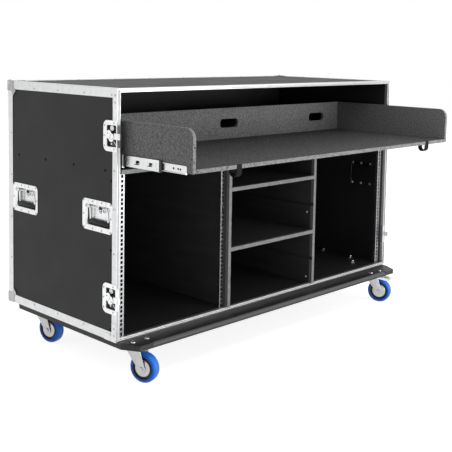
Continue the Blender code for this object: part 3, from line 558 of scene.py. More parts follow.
# Brake pedals
# The two right-hand casters have a total brake: a pressed channel that pivots between the
# fork's legs and reaches out over the tyre, with a turned-up toe plate to step on.
PEDAL_PIVOT = 0.026
PEDAL_DROP = 0.0062
PEDAL_KNEE = 0.074
PEDAL_REACH = 0.083
PEDAL_TOE = 0.0875
PEDAL_HALF = 0.0199
PEDAL_SHEET = 0.0012
PEDAL_EYE = 0.0042


def rod(axis, centre, start, end, radius, steps=16):
    return turned(axis, centre, [(start, radius), (end, radius)], steps)


def cut(shape, *tools):
    return combine(shape, tools, 'DIFFERENCE')


pedal_zinc = scratched_metal("pedal_zinc", (0.74, 0.76, 0.77), 0.28, (1.0, 0.3, 1.0), 0.2)
for tag in caster_tags:
    node = f"brake_pedal_{tag}"
    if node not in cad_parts:
        continue
    x, y, angle, _ = caster_place(tag)
    pivot_y = y - PEDAL_PIVOT
    pivot_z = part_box(f"caster_fork_{tag}")[1].z - LEG_WALL - PEDAL_DROP
    flange = arc((pivot_y, pivot_z), PEDAL_EYE, 90, 270, 8)
    flange += [(pivot_y - 0.018, pivot_z - 0.0040), (y - PEDAL_REACH * 0.86, pivot_z - 0.0085),
               (y - PEDAL_REACH, pivot_z - 0.0050), (y - PEDAL_REACH, pivot_z - 0.0010),
               (y - PEDAL_KNEE, pivot_z + 0.0038)]
    cheeks = [prism(flange, "X", x + way * PEDAL_HALF, x + way * (PEDAL_HALF - PEDAL_SHEET))
              for way in (-1, 1)]
    top_line = [(pivot_y + 0.004, pivot_z + PEDAL_EYE), (y - PEDAL_KNEE, pivot_z + PEDAL_EYE),
                (y - PEDAL_REACH, pivot_z - 0.0006), (y - PEDAL_TOE, pivot_z + 0.0012)]
    web = prism(top_line + [(a, b - PEDAL_SHEET) for a, b in reversed(top_line)], "X",
                x - PEDAL_HALF, x + PEDAL_HALF)
    slots = [prism(rounded((x + sx * 0.008, y - 0.058), 0.006, 0.012, 0.0028), "Z",
                   pivot_z - 0.01, pivot_z + 0.02) for sx in (-1, 1)]
    rivet = rod("X", (pivot_y, pivot_z), x - HUB - 0.0038, x + HUB + 0.0038, 0.0025)
    pedal = together([cut(web, *slots), rivet] + cheeks)
    piece(f"brake_pedal_body_{tag}", swivelled(pedal, x, y, angle), pedal_zinc, node,
          node, 0.0004)

# Plywood panels
# Thin birch plywood faced with a hard black plastic that is embossed with a fine pebble. The
# panels slide into the aluminium edging and are riveted there; the side panels carry glued
# packing battens for the rack strips and the tray's slides.
laminate = Finish("pebbled_black_laminate", specular_ior_level=0.26)
pebble = laminate.node("ShaderNodeTexVoronoi", {"feature": 'F1'},
                       {"Vector": laminate.place(), "Scale": 620.0})
cloud = laminate.noise(9.0, 5.0)
rub = laminate.noise(140.0, 4.0, (1.0, 1.0, 0.35))
greyed = cloud.between(0.3, 0.8) * 0.5 + rub.between(0.55, 0.9) * 0.4
laminate.set("Base Color", laminate.mix(greyed, (0.018, 0.018, 0.019), (0.026, 0.026, 0.027)))
laminate.set("Roughness", 0.52 + cloud.between(0.3, 0.8) * 0.12 - rub.between(0.6, 0.9) * 0.08)
laminate.bump(1.0 - pebble * 1.4, 0.35, 0.00035)
for node in ("side_panel_left", "side_panel_right", "top_panel", "back_panel", "floor_panel"):
    dress(node, laminate)

# Edge angles
# Equal-leg aluminium angles, extruded with a slightly rounded nose and anodised. They wrap
# the eight edges behind the front frame; at the rear corners they butt under the ball corners.
LEG = 0.030
NOSE = 0.0022
FRAME_FLANGE = 0.0297

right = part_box("side_panel_right")[1].x + SKIN
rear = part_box("side_panel_left")[1].y + SKIN
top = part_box("top_panel")[1].z + SKIN
centre_x = (left + right) / 2
half_width = (right - left) / 2
aluminium = scratched_metal("anodised_aluminium", (0.72, 0.725, 0.732), 0.38, (1.0, 1.0, 0.04),
                            0.10)
aluminium.set("Metallic", 0.9)
angle_section = [(NOSE - a, NOSE - b) for a, b in arc((0.0, 0.0), NOSE, 0, 90, 4)]
angle_section += [(LEG, 0.0), (LEG, WALL), (WALL * 1.6, WALL), (WALL, WALL * 1.6), (WALL, LEG),
                  (0.0, LEG)]


def across(side, inset):
    """X of a place that lies inset from the outer face of the left (-1) or right (+1) side."""
    return centre_x + side * (half_width - inset)


def edge_angle(axis, corner, start, end):
    """An angle along an axis; corner gives each other axis's outer place and inward way."""
    (place_a, way_a), (place_b, way_b) = corner
    outline = [(place_a + way_a * a, place_b + way_b * b) for a, b in angle_section]
    return prism(outline, axis, start, end)


angles = []
levels = ((-1, bottom), (1, top))
for side, _ in sides:
    outside = (across(side, 0.0), -side)
    angles.append(edge_angle("Z", (outside, (rear, -1)), bottom, top))
    for level, z in levels:
        angles.append(edge_angle("Y", (outside, (z, -level)), back(FRAME_FLANGE + GAP),
                                 rear - LEG - GAP))
for level, z in levels:
    angles.append(edge_angle("X", ((rear, -1), (z, -level)), across(-1, LEG + GAP),
                             across(1, LEG + GAP)))
piece("edge_angles", together(angles), aluminium, "case", "edge_frame", 0.0003)

# Front frame
# One heavier extrusion, mitred and welded at its corners: it grips the panels' front edges,
# and its rounded tongue seats the lid. It is notched where the latches' cups pass through.
SHOULDER = 0.006
WEB = 0.0015
TONGUE_OUTER = 0.0045
TONGUE_INNER = 0.0095
INNER_FLANGE = 0.021
PANEL_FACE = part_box("side_panel_left")[0].x + 0.0095 - left
PANEL_SEAT = PANEL_FACE + GAP
CUP_HALF = 0.036
CLEAR = 0.01  # how far a cutting shape reaches past what it cuts

tongue = (TONGUE_INNER - TONGUE_OUTER) / 2
tongue_arc = arc((TONGUE_OUTER + tongue, tongue), tongue, 0, -180, 10)
frame_section = [(0.0, FRAME_FLANGE), (WALL, FRAME_FLANGE), (WALL, SHOULDER + WEB),
                 (PANEL_SEAT, SHOULDER + WEB), (PANEL_SEAT, INNER_FLANGE),
                 (PANEL_SEAT + WEB, INNER_FLANGE), (PANEL_SEAT + WEB, SHOULDER + 0.0008),
                 (PANEL_SEAT + WEB * 0.4, SHOULDER), (TONGUE_INNER + 0.0006, SHOULDER),
                 (TONGUE_INNER, SHOULDER - 0.0006)]
frame_section += tongue_arc
frame_section += [(TONGUE_OUTER, SHOULDER - 0.0006), (TONGUE_OUTER - 0.0006, SHOULDER),
                  (0.0013, SHOULDER), (0.0004, SHOULDER + 0.0004), (0.0, SHOULDER + 0.0013)]
rings = [[(across(side, inset), back(behind), z + way * inset) for inset, behind in frame_section]
         for side, way, z in ((-1, 1, bottom), (1, 1, bottom), (1, -1, top), (-1, -1, top))]


def box(x_range, y_range, z_range):
    ring = [(x_range[0], y_range[0]), (x_range[1], y_range[0]),
            (x_range[1], y_range[1]), (x_range[0], y_range[1])]
    return prism(ring, "Z", *z_range)


def block(side, insets, y_range, z_range):
    """A box between two insets from a side's outer face."""
    return box(sorted(across(side, inset) for inset in insets), y_range, z_range)


latch_tags = [(side, f"{name}_{where}") for side, name in sides for where in ("upper", "lower")]
notches = []
for side, tag in latch_tags:
    plate_low, plate_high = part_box(f"latch_plate_{tag}")
    rise = (plate_low.z + plate_high.z) / 2
    for start, end in ((SHOULDER + WEB, FRAME_FLANGE + GAP), (-CLEAR, SHOULDER - GAP)):
        notches.append(block(side, (-CLEAR, PANEL_FACE), (back(start), back(end)),
                             (rise - CUP_HALF - GAP, rise + CUP_HALF + GAP)))
piece("front_frame_extrusion", cut(loft(rings, looped=True), together(notches)), aluminium,
      "case", "front_frame")

# Corner braces
# L-shaped aluminium plates, riveted over the front corners of both sides with three rivets;
# the inner corner of each is rounded.
BRACE_LEG = 0.062
BRACE_WIDTH = 0.0225
BRACE_ROUND = 0.008
PLATE = 0.0013
CAP = PLATE + GAP


def plate_between(side, outline, start, end):
    """An outline of Y and Z, pushed from one inset to another."""
    return prism(outline, "X", across(side, start), across(side, end))


braces = []
for side, _ in sides:
    for level, z in levels:
        flat = [(SHOULDER, 0.0), (SHOULDER + BRACE_LEG, 0.0), (SHOULDER + BRACE_LEG, BRACE_WIDTH)]
        flat += [(SHOULDER + BRACE_WIDTH + BRACE_ROUND - a, BRACE_WIDTH + BRACE_ROUND - b)
                 for a, b in arc((0.0, 0.0), BRACE_ROUND, 90, 0, 6)]
        flat += [(SHOULDER + BRACE_WIDTH, BRACE_LEG), (SHOULDER, BRACE_LEG)]
        braces.append(plate_between(side, [(back(a), z - level * b) for a, b in flat], -GAP, -CAP))
piece("corner_braces", together(braces), aluminium, "case", "front_frame", 0.0003)

# Ball corners
# Pressed steel corners, zinc plated: a petal on each of the three faces, with a tab toward
# the panel, and a ball that takes the knocks where they meet.
PETAL = 0.036
PETAL_TAB = 0.054
PETAL_CUT = 0.034
TAB_RIVET = (PETAL_TAB - 0.0085, PETAL_CUT - 0.0005)
BALL_SINK = 0.006
BALL_RADIUS = 0.0104

petal = [(-CAP, -CAP), (PETAL, -CAP), (PETAL, PETAL * 0.50), (PETAL * 1.04, PETAL * 0.66),
         (PETAL * 1.20, PETAL * 0.84), (PETAL_TAB, PETAL_CUT), (PETAL_CUT, PETAL_TAB),
         (PETAL * 0.84, PETAL * 1.20), (PETAL * 0.66, PETAL * 1.04), (PETAL * 0.50, PETAL),
         (-CAP, PETAL)]
ball_steel = scratched_metal("ball_corner_zinc", (0.42, 0.425, 0.435), 0.22, (1.0, 1.0, 1.0), 0.1)
caps = []
edge_places = []
for side, name in sides:
    for level, z in levels:
        place = (across(side, 0.0), rear, z)
        ways = (-side, -1, -level)
        shapes = []
        for at, axis in enumerate("XYZ"):
            if axis == "Z" and level < 0:
                continue
            a, b = [i for i in range(3) if i != at]
            least_b = 0.0 if b == 2 and level < 0 else -CAP
            outline = [(place[a] + ways[a] * u, place[b] + ways[b] * max(v, least_b))
                       for u, v in petal]
            outer = place[at] - ways[at] * CAP
            shapes.append(prism(outline, axis, outer, place[at] - ways[at] * GAP))
            for u, v in (TAB_RIVET, TAB_RIVET[::-1]):
                spot = [place[a] + ways[a] * u, place[b] + ways[b] * v]
                spot.insert(at, outer)
                edge_places.append((spot, axis, -ways[at]))
        ball = bmesh.new()
        bmesh.ops.create_uvsphere(ball, u_segments=40, v_segments=24, radius=BALL_RADIUS)
        middle = [place[i] + ways[i] * BALL_SINK for i in range(3)]
        bmesh.ops.translate(ball, verts=ball.verts, vec=middle)
        inside = box(*[sorted((place[i] - ways[i] * GAP, place[i] + ways[i] * 0.05))
                       for i in range(3)])
        caps.append(weld(*shapes, cut(ball, inside)))
piece("ball_corners", together(caps), ball_steel, "case", "edge_frame", 0.0003)

# Rivets
# Aluminium pop rivets with a domed head and a dark steel pin left in the middle, whose dark
# colour also paints the shade in the head's hollow. They hold the panels in the edging, the
# braces, the ball corners and the front frame.
EDGE_ROW = 0.0215
FRAME_ROW = 0.0205
SIDE_RIVETS = (0.181, 0.332, 0.478)
BACK_RIVETS = (0.168, 0.323, 0.479, 0.634)
FRAME_RIVETS = (0.290, 0.4354, 0.560)
WIDE_RIVETS = (0.12, 0.30, 0.48, 0.66)
BRACE_RIVETS = ((0.010, 0.0215), (0.0275, 0.0215), (0.010, 0.0445))

rivet_metal = scratched_metal("rivet_aluminium", (0.46, 0.465, 0.475), 0.30, (1.0, 1.0, 1.0), 0.1)
# Dark steel for the rivets' pins and the handle springs; its dark colour also paints shade in the
# rivets' hollow heads and in the latch keys' holes and beside their ridge.
dark_steel_and_painted_shade = grained("rivet_pin_steel", (0.035, 0.035, 0.037), 0.36, 0.2, 1800.0, metallic=0.8)


def rivets(name, places, head=0.0042, rise=0.0013, pin=0.0019):
    """A group of like rivets: each place is (point on the face, axis, way out of the face)."""
    domes = [dome(point, axis, way, head, rise, pin) for point, axis, way in places]
    pins = []
    for point, axis, way in places:
        face, middle = off_axis(axis, point)
        pins.append(turned(axis, middle, [(face + way * rise * 0.2, pin * 0.98),
                                          (face + way * rise * 0.62, pin * 0.98),
                                          (face + way * rise * 0.72, pin * 0.6)], 12))
    piece(name, together(domes), rivet_metal, "case")
    piece(f"{name}_pins", together(pins), dark_steel_and_painted_shade, "case")


for side, _ in sides:
    face = across(side, 0.0)
    for level, z in levels:
        for behind in SIDE_RIVETS:
            edge_places.append(((face, back(behind), z - level * EDGE_ROW), "X", side))
            if level > 0:
                edge_places.append(((across(side, EDGE_ROW), back(behind), z), "Z", level))
        for a, b in BRACE_RIVETS:
            spot = (across(side, -CAP), back(SHOULDER + a), z - level * b)
            edge_places.append((spot, "X", side))
    for rise in BACK_RIVETS:
        edge_places.append(((face, rear - EDGE_ROW, up(rise)), "X", side))
        edge_places.append(((across(side, EDGE_ROW), rear, up(rise)), "Y", 1))
    for rise in FRAME_RIVETS:
        edge_places.append(((face, back(FRAME_ROW), up(rise)), "X", side))
    for share in WIDE_RIVETS:
        x = across(side, share)
        edge_places += [((x, back(FRAME_ROW), top), "Z", 1), ((x, rear - EDGE_ROW, top), "Z", 1)]
        edge_places += [((x, rear, z - level * EDGE_ROW), "Y", 1) for level, z in levels]
rivets("edge_rivets", edge_places)

# Panel screws
# Black countersunk screws that come through the side panels into the deck's edge and the
# battens behind the rack strips.
SCREW_HEAD = 0.0048
SCREW_RISE = 0.0007
DECK_SCREWS = [(behind, 0.5566) for behind in (0.0693, 0.2419, 0.4098, 0.5771)]
BATTEN_SCREWS = [(0.0384, rise) for rise in (0.0374, 0.2997, 0.526)]
screw_black = grained("blackened_screw", (0.003, 0.003, 0.003), 0.62, 0.2, 1500.0,
                      specular_ior_level=0.08)


def cross_screw(point, axis, way, radius, rise):
    """A countersunk head with a cross recess, nearly level with its face."""
    face, (a, b) = off_axis(axis, point)
    head = turned(axis, (a, b), [(face - way * 0.0010, radius * 0.9),
                                 (face + way * rise * 0.4, radius),
                                 (face + way * rise, radius * 0.82)], 20)
    wide, thin = radius * 0.62, radius * 0.13
    blades = [prism([(a - p, b - q), (a + p, b - q), (a + p, b + q), (a - p, b + q)], axis,
                    face - way * 0.0004, face + way * 0.002)
              for p, q in ((wide, thin), (thin, wide))]
    return cut(head, *blades)


screws = [cross_screw((across(side, SKIN), back(a), up(b)), "X", side, SCREW_HEAD, SCREW_RISE)
          for side, _ in sides for a, b in DECK_SCREWS + BATTEN_SCREWS]
piece("panel_screws", together(screws), screw_black, "case")

# Inner boards
# Dividers, deck and shelves of birch plywood painted flat black, housed into each other,
# with grey channels pressed over their front edges.
black_board = Finish("flat_black_paint")
wood = black_board.noise(45.0, 5.0, (1.0, 0.12, 1.0))
fleck = black_board.noise(800.0, 2.0)
black_board.set("Base Color", black_board.mix(wood.between(0.35, 0.8), (0.038, 0.038, 0.0385),
                                              (0.060, 0.060, 0.061)))
black_board.set("Roughness", 0.50 + fleck * 0.16)
black_board.bump(wood * 0.5 + fleck * 0.5, 0.22, 0.0003)
for node in ("divider_left", "divider_right", "crossboard", "shelf_lower", "shelf_upper"):
    dress(node, black_board, 0.0003)
edge_trim = Finish("grey_edge_trim", specular_ior_level=0.5)
trim_lines = edge_trim.noise(500.0, 3.0, (0.1, 1.0, 0.1))
edge_trim.set("Base Color", edge_trim.mix(trim_lines.between(0.3, 0.8), (0.24, 0.24, 0.245),
                                          (0.14, 0.14, 0.145)))
edge_trim.set("Roughness", 0.30 + trim_lines * 0.16)
edge_trim.bump(trim_lines, 0.10, 0.0002)
dress("board_trims", edge_trim, 0.0003)

# Rack strips
# Rolled steel angles, zinc plated, punched with square holes in threes to the rack unit.
# Pan-head bolts through their side legs pull them onto the dividers and battens.
STRIP_BOLTS = (0.0342, 0.3009, 0.3898)
STRIP_LEG = 0.0020
LONE_BOLTS = ((0.0343, 0.3014), (0.0318, 0.0357))

rack_steel = scratched_metal("rolled_rack_steel", (0.44, 0.445, 0.455), 0.34, (1.0, 1.0, 0.05))
bolt_places = []
for side, name in sides:
    for column, way in (("outer", -side), ("inner", side)):
        node = f"rack_strip_{name}_{column}"
        dress(node, rack_steel, 0.0004)
        low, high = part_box(node)
        face = (low.x if way > 0 else high.x) + way * STRIP_LEG
        bolt_places += [((face, (low.y + high.y) / 2 + 0.001, up(rise)), way)
                        for rise in STRIP_BOLTS]
divider_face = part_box("divider_right")[0].x
bolt_places += [((divider_face, back(a), up(b)), -1) for a, b in LONE_BOLTS]
piece("rack_strip_bolts", together([dome(spot, "X", way, 0.0048, 0.0028, 0.0011)
                                    for spot, way in bolt_places]), zinc, "case")

# Bail handles
# Recessed lifting handles: a zinc-plated steel dish riveted into the side, a hinge pin in
# pressed lugs along its top, a sprung wire bail and a black rubber grip moulded round it.
RECESS_LENGTH = 0.132
RECESS_HEIGHT = 0.068
DISH_WALL = 0.0014
DISH_FACE = 0.0002
DISH_FLOOR = 0.0212
# Each ring is (longer than the recess, taller than it, corner radius, inset).
DISH_RINGS = ((-0.0060, -0.0060, 0.0030, DISH_FLOOR + DISH_WALL),
              (0.0, 0.0, 0.0050, DISH_FLOOR + DISH_WALL * 0.7),
              (0.0028, 0.0028, 0.0074, DISH_FLOOR - 0.0010),
              (0.0028, 0.0028, 0.0074, DISH_FACE + DISH_WALL),
              (0.0280, 0.0360, 0.0160, DISH_FACE + DISH_WALL),
              (0.0280, 0.0360, 0.0160, DISH_FACE + DISH_WALL * 0.4),
              (0.0268, 0.0348, 0.0154, DISH_FACE), (0.0050, 0.0050, 0.0085, DISH_FACE),
              (0.0024, 0.0024, 0.0072, 0.0009), (0.0004, 0.0006, 0.0063, 0.0024),
              (-0.0097, 0.0, 0.0060, 0.0082), (-0.0105, 0.0, 0.0060, 0.0092),
              (-0.0105, -0.0010, 0.0060, DISH_FLOOR - 0.0030),
              (-0.0125, -0.0030, 0.0048, DISH_FLOOR - 0.0008),
              (-0.0165, -0.0070, 0.0036, DISH_FLOOR))
HANDLE_RIVETS = [(a, b) for b in (-0.0455, 0.0455) for a in (-0.0705, -0.0235, 0.0235, 0.0705)]
HANDLE_RIVETS += [(-0.0727, 0.0), (0.0727, 0.0)]
SLOT_STEP = 0.047
SLOT_UP = 0.0435
SLOT_SIZE = (0.0034, 0.0110, 0.0012)
HINGE_INSET = 0.0077
HINGE_RISE = 0.0255
HINGE_PIN = 0.0026
LUG_STEP = 0.0570
LUG_HALF = 0.0045
LUG_RADIUS = 0.0046
SPRING_RADIUS = 0.0040
SPRING_WIRE = 0.0007
SPRING_CURLS = 6
CURL_POINTS = 14
SPRING_PITCH = 0.0019
SPRING_START = -0.0185
SPRING_TAILS = (-0.0200, -0.0100, -0.0005)
TAIL_WIRE = 0.0010
END_WASHER = 0.0056
BAR_INSET = 0.0113
BAR_RISE = -0.0241
ARM_REACH = 0.0475
ARM_START = 0.0045
BAIL_WIRE = 0.0034
EYE_PROFILE = ((BAIL_WIRE, 0.0056), (BAIL_WIRE, 0.0030))
GRIP_RADIUS = 0.0085
GRIP_HALF = 0.0560
# Each point is (in from the grip's end, share of its radius).
GRIP_END = ((0.0072, 0.985), (0.0064, 0.94), (0.0052, 0.94), (0.0045, 1.0), (0.0010, 0.97),
            (0.0, 0.86), (0.0, 0.55))


def depth_inside(finish):
    """How far inside the case's side faces the point lies, in metres."""
    return half_width - (finish.coordinates("Object", "X") - centre_x).unsigned()


def shade_inside(metal, shade, scale, dull, dark):
    """Colour a pressing mottled zinc where the light reaches and near black inside."""
    mottled = metal.mix(metal.noise(scale, 4.0).between(0.3, 0.75), (0.82, 0.825, 0.832), dull)
    metal.set("Base Color", metal.mix(shade, mottled, dark))


dish_zinc = scratched_metal("pressed_dish_zinc", None, 0.36, (1.0, 0.25, 1.0), 0.14)
wall_shade = ((1.0 - dish_zinc.face("X").unsigned()).between(0.45, 0.8)
              * depth_inside(dish_zinc).between(0.0092, 0.0100))
shade_inside(dish_zinc, wall_shade, 60.0, (0.70, 0.705, 0.712), (0.012, 0.012, 0.012))
dish_zinc.set("Metallic", 1.0 - wall_shade)
grip_rubber = Finish("black_grip_rubber", specular_ior_level=0.22)
rubber_grain = grip_rubber.noise(900.0, 3.0)
grip_rubber.set("Base Color", grip_rubber.mix(rubber_grain.between(0.35, 0.7),
                                              (0.010, 0.010, 0.0105), (0.030, 0.030, 0.031)))
grip_rubber.set("Roughness", 0.44 + rubber_grain * 0.14)
grip_rubber.bump(rubber_grain, 0.2, 0.0002)


def tube(points, radius, steps=12):
    """A round bar along a run of points, with its frame carried along without twist."""
    points = [Vector(point) for point in points]
    across_way = None
    rings = []
    for i, point in enumerate(points):
        ahead = points[min(i + 1, len(points) - 1)] - points[max(i - 1, 0)]
        ahead.normalize()
        if across_way is None:
            across_way = ahead.orthogonal()
        across_way = (across_way - ahead * across_way.dot(ahead)).normalized()
        other_way = ahead.cross(across_way)
        rings.append([point + across_way * radius * math.cos(2 * math.pi * k / steps)
                      + other_way * radius * math.sin(2 * math.pi * k / steps)
                      for k in range(steps)])
    return loft(rings)


def pressing(side, middle, rings, steps):
    """A pressed sheet round a handle's recess, from its rings."""
    return loft([[(across(side, inset), a, b) for a, b in
                  rounded(middle, RECESS_LENGTH + longer, RECESS_HEIGHT + taller, corner, steps)]
                 for longer, taller, corner, inset in rings])


handles = []
for side, name in sides:
    for where in ("front", "rear"):
        low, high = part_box(f"handle_dish_{name}_{where}")
        handles.append((side, f"{name}_{where}", (low.y + high.y) / 2, (low.z + high.z) / 2))
for side, tag, y, z in handles:
    node, bail = f"handle_dish_{tag}", f"handle_bail_{tag}"
    slots = [prism(rounded((y + step, z + SLOT_UP), *SLOT_SIZE, 4), "X",
                   *sorted((across(side, -0.002), across(side, DISH_FACE + DISH_WALL * 0.9))))
             for step in (-SLOT_STEP, 0.0, SLOT_STEP)]
    dish = cut(pressing(side, (y, z), DISH_RINGS, 6), *slots)
    hinge = (across(side, HINGE_INSET), z + HINGE_RISE)
    half_pin = RECESS_LENGTH / 2 + DISH_WALL
    works = [rod("Y", hinge, y - half_pin, y + half_pin, HINGE_PIN)]
    for at in (y - LUG_STEP, y, y + LUG_STEP):
        works += [rod("Y", hinge, at - LUG_HALF, at + LUG_HALF, LUG_RADIUS, 24),
                  block(side, (HINGE_INSET - LUG_RADIUS * 0.3, HINGE_INSET + LUG_RADIUS),
                        (at - LUG_HALF, at + LUG_HALF),
                        (hinge[1], z + RECESS_HEIGHT / 2 + 0.0004))]
    curl = []
    for i in range(SPRING_CURLS * CURL_POINTS + 1):
        angle = 2 * math.pi * i / CURL_POINTS
        curl.append((hinge[0] + SPRING_RADIUS * math.cos(angle),
                     y + SPRING_START + SPRING_PITCH * i / CURL_POINTS,
                     hinge[1] + SPRING_RADIUS * math.sin(angle)))
    springs = [tube(curl, SPRING_WIRE, 8)]
    for step in SPRING_TAILS:
        springs.append(tube([(hinge[0] - side * 0.002, y + step, hinge[1] - 0.002),
                             (hinge[0] - side * 0.004, y + step, hinge[1] - 0.013)], TAIL_WIRE, 8))
    for way in (-1, 1):
        wall_y = y + way * (RECESS_LENGTH / 2 - 0.0012)
        springs.append(rod("Y", hinge, wall_y, wall_y - way * 0.0006, END_WASHER, 20))
    piece(f"handle_spring_{tag}", together(springs), dark_steel_and_painted_shade, "case", node)
    piece(f"handle_dish_pan_{tag}", dish, dish_zinc, "case", node)
    piece(f"handle_hinge_{tag}", together(works), zinc, "case", node, 0.0003)

    foot = (across(side, BAR_INSET), z + BAR_RISE)
    fall = math.hypot(foot[0] - hinge[0], foot[1] - hinge[1])
    arms, eyes = [], []
    for arm_y in (y - ARM_REACH, y + ARM_REACH):
        arms.append(tube([(hinge[0] + (foot[0] - hinge[0]) * share, arm_y,
                           hinge[1] + (foot[1] - hinge[1]) * share)
                          for share in (ARM_START / fall, 0.5, 1.0)], BAIL_WIRE))
        eyes.append(turned("Y", hinge, both_ways(arm_y, EYE_PROFILE), looped=True))
    piece(f"handle_bail_wire_{tag}", together(arms + eyes), zinc, bail, bail, 0.0003)
    grip = [(GRIP_HALF - inward, GRIP_RADIUS * share) for inward, share in GRIP_END]
    piece(f"handle_grip_{tag}", turned("Y", foot, both_ways(y, grip), 32), grip_rubber, bail,
          bail)
    rivets(f"handle_rivets_{tag}", [((across(side, DISH_FACE), y + a, z + b), "X", side)
                                    for a, b in HANDLE_RIVETS],
           head=0.0040, rise=0.0012, pin=0.0020)

# Handle backs
# Inside the case each dish is boxed in by a black pressed cover; the rivets' tails and
# washers show round it.
COVER_INSET = PANEL_FACE + GAP
COVER_FACE = COVER_INSET + 0.0010
COVER_DEEP = DISH_FLOOR + DISH_WALL + GAP
COVER_RINGS = ((-0.0100, -0.0100, 0.0040, COVER_DEEP), (0.0050, 0.0050, 0.0070, COVER_DEEP),
               (0.0060, 0.0060, 0.0070, COVER_INSET), (0.0280, 0.0380, 0.0100, COVER_INSET),
               (0.0280, 0.0380, 0.0100, COVER_FACE), (0.0086, 0.0086, 0.0090, COVER_FACE),
               (0.0070, 0.0070, 0.0080, COVER_DEEP + 0.0004),
               (0.0040, 0.0040, 0.0070, COVER_DEEP + 0.0010))
COVER_STUDS = [(-0.0250, 0.0287), (-0.0040, 0.0105)]
# Bright strips down the cover's edge, painted highlights for the light on its bend: (behind the
# dish's middle, half the height).
COVER_HIGHLIGHT_STRIPS = ((0.0755, 0.036), (0.0660, 0.011))

cover_black = grained("cover_black_steel", (0.012, 0.012, 0.0125), 0.36, 0.16, 500.0, 3.0, 0.15,
                      specular_ior_level=0.4)
bright_steel_and_highlights = scratched_metal("bright_rivet_steel_and_painted_highlights", (0.95, 0.95, 0.95), 0.45, (1.0, 1.0, 1.0), 0.1)
bright_steel_and_highlights.set("Metallic", 0.0)
covers, tails, strips = [], [], []
for side, tag, y, z in handles:
    covers.append(pressing(side, (y, z), COVER_RINGS, 4))
    tails += [dome((across(side, COVER_FACE), y + a, z + b), "X", -side, 0.0052, 0.0022, 0.0010)
              for a, b in HANDLE_RIVETS + COVER_STUDS]
    strips += [block(side, (COVER_FACE, COVER_FACE + 0.0006), (y + a, y + a + 0.0030),
                     (z - half, z + half)) for a, half in COVER_HIGHLIGHT_STRIPS]
piece("handle_covers", together(covers), cover_black, "case")
# The rivet tails share this piece and its bright white finish with the strips that paint highlights
# on the covers' edges.
piece("handle_rivet_tails_and_highlights", together(tails + strips), bright_steel_and_highlights, "case")

# Butterfly latches
# Recessed latches over the front edge: a zinc-plated cup riveted to the side, a butterfly
# key on a spindle, and the hook that it throws over the lid's edge. The right-hand keys
# are left standing with their two wings folded up.
LATCH_CORNER = 0.020
LATCH_RIVETS = ((0.0705, 0.0330), (0.0715, 0.0), (0.0705, -0.0330), (0.0210, 0.0420),
                (0.0210, -0.0420))
CUP_FRONT = 0.0086
CUP_REAR = 0.0595
CUP_LENGTH = CUP_REAR - CUP_FRONT
CUP_WALL = 0.0012
CUP_FLOOR = 0.0088
CUP_FACE = CUP_FLOOR - CUP_WALL
CUP_CORNER = 0.006
# The hook's small works on the cup's floor. The barrel's profile lists (inset, radius), the
# guide's corners (behind the front plane, below the latch's middle).
BARREL_PLACE = (0.0365, 0.0245)
BARREL = ((CUP_FACE, 0.0092), (0.0022, 0.0092), (0.0022, 0.0070), (0.0036, 0.0066),
          (0.0036, 0.0042), (0.0022, 0.0040), (0.0022, 0.0018))
STOP_PLACE = (0.0450, -0.0265)
GUIDE = ((0.0125, 0.0300), (0.0150, 0.0312), (0.0285, 0.0180), (0.0268, 0.0160))
GUIDE_TOP = 0.0030
BACKING = (PANEL_FACE + 2 * GAP + WEB, PANEL_FACE + 2 * GAP + WEB + 0.0048)
BACKING_HOLES = (-0.024, -0.008, 0.008, 0.024)
KEY_FACE = -CAP - GAP
KEY_SET = 0.0405
KEY_RADIUS = 0.0213
KEY_WAIST = 0.0105
KEY_LEAN = math.radians(55.0)
KEY_SHEET = 0.0013
KEY_RAISE = 0.022
KEY_ROUND = 0.006
DOT_STEP = 0.0150
# Wires over the key's hub, the second in dark steel as a painted shadow line beside the ridge:
# (along its ridge, then a shift in Y and in Z).
KNUCKLE = ((-0.0080, 0.0, 0.0), (-0.0030, 0.0, 0.0016), (0.0030, 0.0, -0.0016), (0.0080, 0.0, 0.0))
RIDGE_SHADOW_LINE = ((-0.0072, -0.0022, -0.0010), (-0.0017, -0.0022, 0.0016), (0.0043, -0.0022, -0.0030),
          (0.0088, -0.0022, -0.0014))
SPINDLE = 0.0040
HOOK_HALF = 0.010
HOOK_WALL = 0.002
HOOK_FOOT = CUP_FACE - 5 * GAP - HOOK_WALL
HOOK_RISER = 0.01689
HOOK_SLIT = (-0.0042, -0.0030)
HOOK_SLIT_HALF = 0.0075

shaded_zinc = scratched_metal("shaded_latch_zinc", (0.26, 0.262, 0.268), 0.42, (1.0, 0.3, 1.0),
                              0.14)
latch_zinc = scratched_metal("latch_zinc", None, 0.33, (1.0, 0.3, 1.0), 0.14)
cup_shade = depth_inside(latch_zinc).between(0.0010, 0.0050)
shade_inside(latch_zinc, cup_shade, 80.0, (0.68, 0.685, 0.692), (0.030, 0.030, 0.031))
latch_zinc.set("Metallic", 1.0 - cup_shade * 0.9)


def boss(side, centre, profile, steps=16):
    """A turned shape that stands along X; its profile lists (inset, radius)."""
    return turned("X", centre, [(across(side, inset), radius) for inset, radius in profile], steps)


